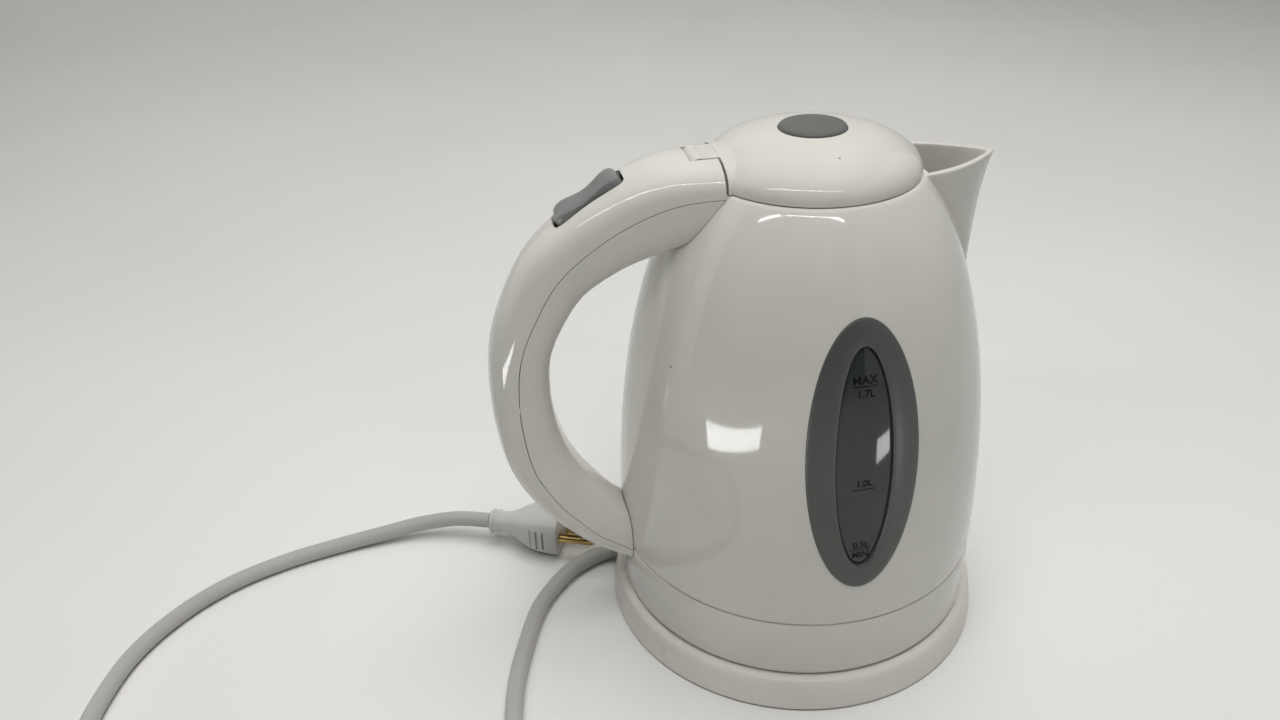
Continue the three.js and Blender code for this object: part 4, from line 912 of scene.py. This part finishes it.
def rocker_block(width, length, low, high):
    """A cutter with rounded ends, in the rocker's frame."""
    outline = []
    for a in np.linspace(0, 2 * math.pi, 64, endpoint=False):
        c, s = math.cos(a), math.sin(a)
        outline.append((width * math.copysign(abs(c) ** 0.3, c), length * math.copysign(abs(s) ** 0.3, s)))
    rows = [[rocker_frame @ Vector((x, y, z)) for x, z in outline] for y in (low, high)]
    return lofted("cutter", rows)


def make_handle_inner():
    piece = handle_half(-1, HANDLE_WALL)
    piece.name = "handle_inner_fine"
    combine(piece, handle_clearance())
    smooth(piece, 32)
    soften(piece, 0.4, angle=48)
    return dress(piece, WHITE, "jug", "white", "handle_inner")


def make_rocker():
    """A saddle: raised pads at both ends, a waist between them and a lug on the pivot."""
    top = rocker_crest
    edge, crown = 0.9, 0.25
    crest = [(-1, -2.5), (-0.985, -1.2), (-0.95, -0.1), (-0.87, 1.0), (-0.7, 1.7), (-0.42, 1.4),
             (-0.05, 0.7), (0.3, 1.1), (0.6, 1.95), (0.8, 1.9), (0.93, 1.0), (0.985, -0.6), (1, -2.5)]
    waist = [(-1, 0.42), (-0.985, 0.58), (-0.95, 0.74), (-0.85, 0.91), (-0.65, 1), (-0.3, 0.93),
             (0, 0.88), (0.3, 0.92), (0.65, 1), (0.85, 0.95), (0.95, 0.8), (0.985, 0.66), (1, 0.5)]
    rows = []
    for share in np.sin(np.linspace(-math.pi / 2, math.pi / 2, 81)):
        z = share * ROCKER_HALF_LENGTH
        up = smooth_between(share, crest)
        half = ROCKER_HALF_WIDTH * smooth_between(share, waist)
        low = top - 3.0 + min(up, 0)
        outline = [
            (-half + 0.2, low), (-half, top + up - 1.6), (-half + 0.12, top + up - 0.7),
            (-half + 0.45, top + up - 0.22), (-half + edge, top + up), (-half * 0.5, top + up + crown * 0.7),
            (0, top + up + crown), (half * 0.5, top + up + crown * 0.7), (half - edge, top + up),
            (half - 0.45, top + up - 0.22), (half - 0.12, top + up - 0.7), (half, top + up - 1.6),
            (half - 0.2, low),
        ]
        rows.append([rocker_frame @ Vector((x, max(y, low), z)) for x, y in outline])
    piece = lofted("rocker_button_fine", rows, sharp=40)
    lug = [(5.4, -2.9), (2.8, -8.4), (-2.8, -8.4), (-5.4, -2.9)]
    reach = ROCKER_HALF_WIDTH - 0.6
    sides = [[rocker_frame @ Vector((x, top + y, z)) for z, y in lug] for x in (-reach, reach)]
    combine(piece, [lofted("lug", sides)], "UNION")
    smooth(piece, 40)
    return dress(piece, ROCKER_SMOKE, "rocker", "rocker_smoke", "rocker_button")


def smooth_between(share, rows):
    """A smooth curve through (share, value) rows, read at one share."""
    xs, ys = zip(*rows)
    i = min(max(np.searchsorted(xs, share) - 1, 0), len(xs) - 2)
    slope = np.gradient(ys, xs)
    h = xs[i + 1] - xs[i]
    t = (share - xs[i]) / h
    return float(
        (2 * t**3 - 3 * t**2 + 1) * ys[i] + (t**3 - 2 * t**2 + t) * h * slope[i]
        + (3 * t**2 - 2 * t**3) * ys[i + 1] + (t**3 - t**2) * h * slope[i + 1]
    )


# ---------------------------------------------------------------- mains lead

def make_cord():
    curve = bpy.data.curves.new("mains_cord_fine", "CURVE")
    curve.dimensions = "3D"
    curve.bevel_depth = CORD_RADIUS * MM
    curve.bevel_resolution = 6
    curve.use_fill_caps = True
    count = 360
    line = curve.splines.new("POLY")
    line.points.add(count)
    for i in range(count + 1):
        line.points[i].co = (*catmull(CORD_ROUTE, i / count), 1)
    line.use_smooth = True
    return link("mains_cord_fine", curve)


def make_strain_relief():
    """A tapered, ribbed sleeve from the hub's wall out along the lead."""
    start, wall_out = HUB_RADIUS - 5.8, HUB_RADIUS + GAP
    tip = wall_out + RELIEF_LENGTH
    wide = RELIEF_FLANGE
    profile = [(0, start), (wide, start), (wide, start + 2.6), (CORD_RADIUS, start + 2.6),
               (CORD_RADIUS, wall_out), (wide, wall_out), (wide, wall_out + 1.6)]
    for rib in range(6):
        along = wall_out + 2 + rib * 3.6
        radius = 4.85 - 0.07 * rib
        profile += [(radius, along), (radius, along + 2.2), (radius - 0.45, along + 2.6),
                    (radius - 0.45, along + 3.2)]
    profile += [(CORD_RADIUS + 0.35, tip), (0, tip)]
    direction = Vector((math.cos(RELIEF_ANGLE), math.sin(RELIEF_ANGLE), 0))
    turn = Matrix.Translation((0, 0, RELIEF_Z)) @ direction.to_track_quat("Z", "Y").to_matrix().to_4x4()
    angles = np.linspace(0, 2 * math.pi, 40, endpoint=False)
    rows = [
        [turn @ Vector((r * math.cos(a), r * math.sin(a), z)) for a in angles] for r, z in profile
    ]
    piece = lofted("strain_relief_fine", rows, closed_ends=False, sharp=45)
    return dress(piece, CORD_WHITE, "base", "cord_white", "strain_relief")


def plug_frame():
    along = Vector((math.cos(PLUG_ANGLE), math.sin(PLUG_ANGLE), 0))
    up = Vector((0, 0, 1))
    across = up.cross(along)
    turn = Matrix((across, up, along)).transposed().to_4x4()
    return Matrix.Translation(PLUG_START) @ turn


def make_plug():
    """Two collar rings, a round neck and a flat-sided grip that widens to the face."""
    turn = plug_frame()
    sections = [
        (0, 4.6, 4.6, 1), (0.3, 5.6, 5.6, 1), (0.9, 6.3, 6.3, 1), (1.6, 6.4, 6.4, 1),
        (2.2, 6.1, 6.1, 1), (2.6, 5.5, 5.5, 1), (2.9, 5.5, 5.5, 1), (3.2, 6.1, 6.1, 1),
        (4.2, 6.4, 6.4, 1), (5.4, 6.3, 6.3, 1), (6, 5.8, 5.8, 1), (6.6, 5.65, 5.65, 1),
        (9, 5.8, 5.75, 1), (12, 6.4, 6.2, 0.95), (15, 7.7, 7.1, 0.85), (19, 9.8, 8.6, 0.7),
        (23, 11.4, 9.8, 0.62), (27, 12.4, 10.6, 0.58), (32, 12.9, 11, 0.56),
        (PLUG_LENGTH - 1.4, 13.2, 11.2, 0.55), (PLUG_LENGTH - 0.4, 13.0, 11.0, 0.55),
        (PLUG_LENGTH, 12.4, 10.4, 0.55),
    ]
    rows = []
    for along, half_width, half_height, power in sections:
        outline = []
        for a in np.linspace(0, 2 * math.pi, 64, endpoint=False):
            c, s = math.cos(a), math.sin(a)
            outline.append(turn @ Vector((
                half_width * math.copysign(abs(c) ** power, c),
                half_height * math.copysign(abs(s) ** power, s),
                along,
            )))
        rows.append(outline)
    piece = lofted("plug_body_fine", rows, sharp=40)
    grip = [
        block((side * 12.3 - 1.2, -5.5, 24 + 3.4 * i), (side * 12.3 + 1.2, 5.5, 25.3 + 3.4 * i), turn)
        for side in (-1, 1) for i in range(3)
    ]
    combine(piece, grip)
    smooth(piece, 40)
    soften(piece, 0.25, angle=45)
    return dress(piece, PLUG_WHITE, "base", "cord_white", "plug_body")


def make_pins():
    start = PLUG_LENGTH + GAP
    turn = plug_frame()
    made = []
    for name, side in (("plug_blade_lower", -1), ("plug_blade_upper", 1)):
        height = side * BLADE_HALF_SPACING
        outline = [(0.8, 0), (7.2, 0), (7.2, 14.6), (5.6, 17), (2.4, 17), (0.8, 14.6)]
        rows = [
            [turn @ Vector((x, height + y, start + z)) for x, z in outline]
            for y in (-BLADE_HALF_THICKNESS, BLADE_HALF_THICKNESS)
        ]
        blade = lofted(f"{name}_fine", rows)
        ends = [turn @ Vector((4, height + y, start + 12.4)) for y in (-2, 2)]
        combine(blade, [cylinder(1.6, *ends, sides=28)])
        smooth(blade, 30)
        soften(blade, 0.18, angle=50)
        made.append(dress(blade, BRASS, "base", "brass", name))
    profile = [(0, 0), (2.4, 0), (2.4, 15.4), (2.2, 16.8), (1.6, 18), (0.8, 18.8), (0, 19)]
    angles = np.linspace(0, 2 * math.pi, 36, endpoint=False)
    rows = [
        [turn @ Vector((r * math.cos(a) - EARTH_OFFSET, r * math.sin(a), start + z)) for a in angles]
        for r, z in profile
    ]
    earth = lofted("plug_earth_pin_fine", rows, closed_ends=False, sharp=40)
    made.append(dress(earth, BRASS, "base", "brass", "plug_earth_pin"))
    return made


def make_lead():
    cord = make_cord()
    dress(cord, CORD_WHITE, "base", "cord_white", "mains_cord")
    on_it = [make_plug(), *make_pins()]
    make_strain_relief()


# ---------------------------------------------------------------- stage

def make_floor():
    """A pale sweep: the floor, curving up a long way behind."""
    depth = [(-3.0, 0), (1.3, 0)] + [
        (1.3 + 0.8 * math.sin(a), 0.8 - 0.8 * math.cos(a)) for a in np.linspace(0.1, math.pi / 2, 14)
    ] + [(2.1, 3.0)]
    rows = [[(x * 1000, y * 1000, z * 1000) for x in np.linspace(-4, 4, 9)] for y, z in depth]
    points = [p for row in rows for p in row]
    sweep = mesh_piece("floor", points, rows_to_faces(len(rows), 9, wrap=False), 80)
    made = Nodes("floor")
    tone = made.mix(made.remap(made.noise(3, 2), 0.35, 0.65), (0.80, 0.80, 0.79), (0.83, 0.83, 0.82))
    made.join(tone, made.shader.inputs["Base Color"])
    made.shader.inputs["Roughness"].default_value = 0.6
    made.shader.inputs["Specular IOR Level"].default_value = 0
    made.bump(made.noise(500, 2), 0.08, 0.0001)
    sweep.data.materials.append(made.material)


def lamp(name, place, target, size, power):
    data = bpy.data.lights.new(name, "AREA")
    data.shape = "RECTANGLE"
    data.size, data.size_y = size
    data.energy = power
    data.color = (1.0, 0.985, 0.955)
    light = bpy.data.objects.new(name, data)
    away = Vector(place) - Vector(target)
    light.matrix_world = Matrix.Translation(place) @ away.to_track_quat("Z", "Y").to_matrix().to_4x4()
    light.visible_camera = False
    bpy.context.scene.collection.objects.link(light)
    return light


def make_lights():
    world = bpy.data.worlds.new("room")
    world.use_nodes = True
    sky = world.node_tree.nodes["Background"]
    sky.inputs["Color"].default_value = (0.95, 0.97, 1.0, 1)
    sky.inputs["Strength"].default_value = 0.03
    bpy.context.scene.world = world
    bpy.context.scene.view_settings.view_transform = "Standard"
    lamp("overhead", (0.08, -0.05, 1.5), (0.0, 0.0, 0), (1.3, 0.9), 17).visible_glossy = False
    lamp("back_light", (-0.2, 1.6, 1.7), (-0.1, 1.2, 0), (2.6, 1.4), 10).visible_glossy = False
    lamp("strip", (-0.32, -0.55, 1.0), (-0.1, 0, 0.1), (1.25, 0.022), 2.4)
    low_left = [(-485, -156), (-407, -499), (-300, -362), (-358, -143)]
    low_right = [(150, -340), (205, -440), (300, -430), (225, -345)]
    glow_card("low_left", [(x, y, 3) for x, y in low_left], 12)
    glow_card("low_right", [(x, y, 3) for x, y in low_right], 9)
    glow_card("left_wall", wall((-750, -20), (-750, 1300), 900), 0.7)
    glow_card("right_wall", wall((340, -950), (850, 700), 900), 0.45)


def wall(start, end, height):
    return [(*start, 5), (*end, 5), (*end, height), (*start, height)]


def glow_card(name, corners, strength):
    """A bright patch or wall of the studio, seen only as a reflection in the gloss."""
    card = mesh_piece(name, corners, [(0, 1, 2, 3)])
    made = bpy.data.materials.new(name)
    made.use_nodes = True
    shader = made.node_tree.nodes["Principled BSDF"]
    shader.inputs["Base Color"].default_value = (0, 0, 0, 1)
    shader.inputs["Emission Color"].default_value = (1, 0.99, 0.97, 1)
    shader.inputs["Emission Strength"].default_value = strength
    card.data.materials.append(made)
    card.visible_camera = False
    card.visible_diffuse = False
    card.visible_shadow = False
    card.visible_transmission = False


# ---------------------------------------------------------------- the assembly

make_camera()
make_lead()
make_body_shell()
for window, side in (("near_window", -1), ("far_window", 1)):
    make_bezel(window, side)
    make_lens(window, side)
    make_level_marks(window, side)
make_bottom_cover()
make_base_cover()
make_lid_dome()
make_button()
make_handle_outer()
make_handle_inner()
make_rocker()
dress_cad_nodes()
make_floor()
make_lights()
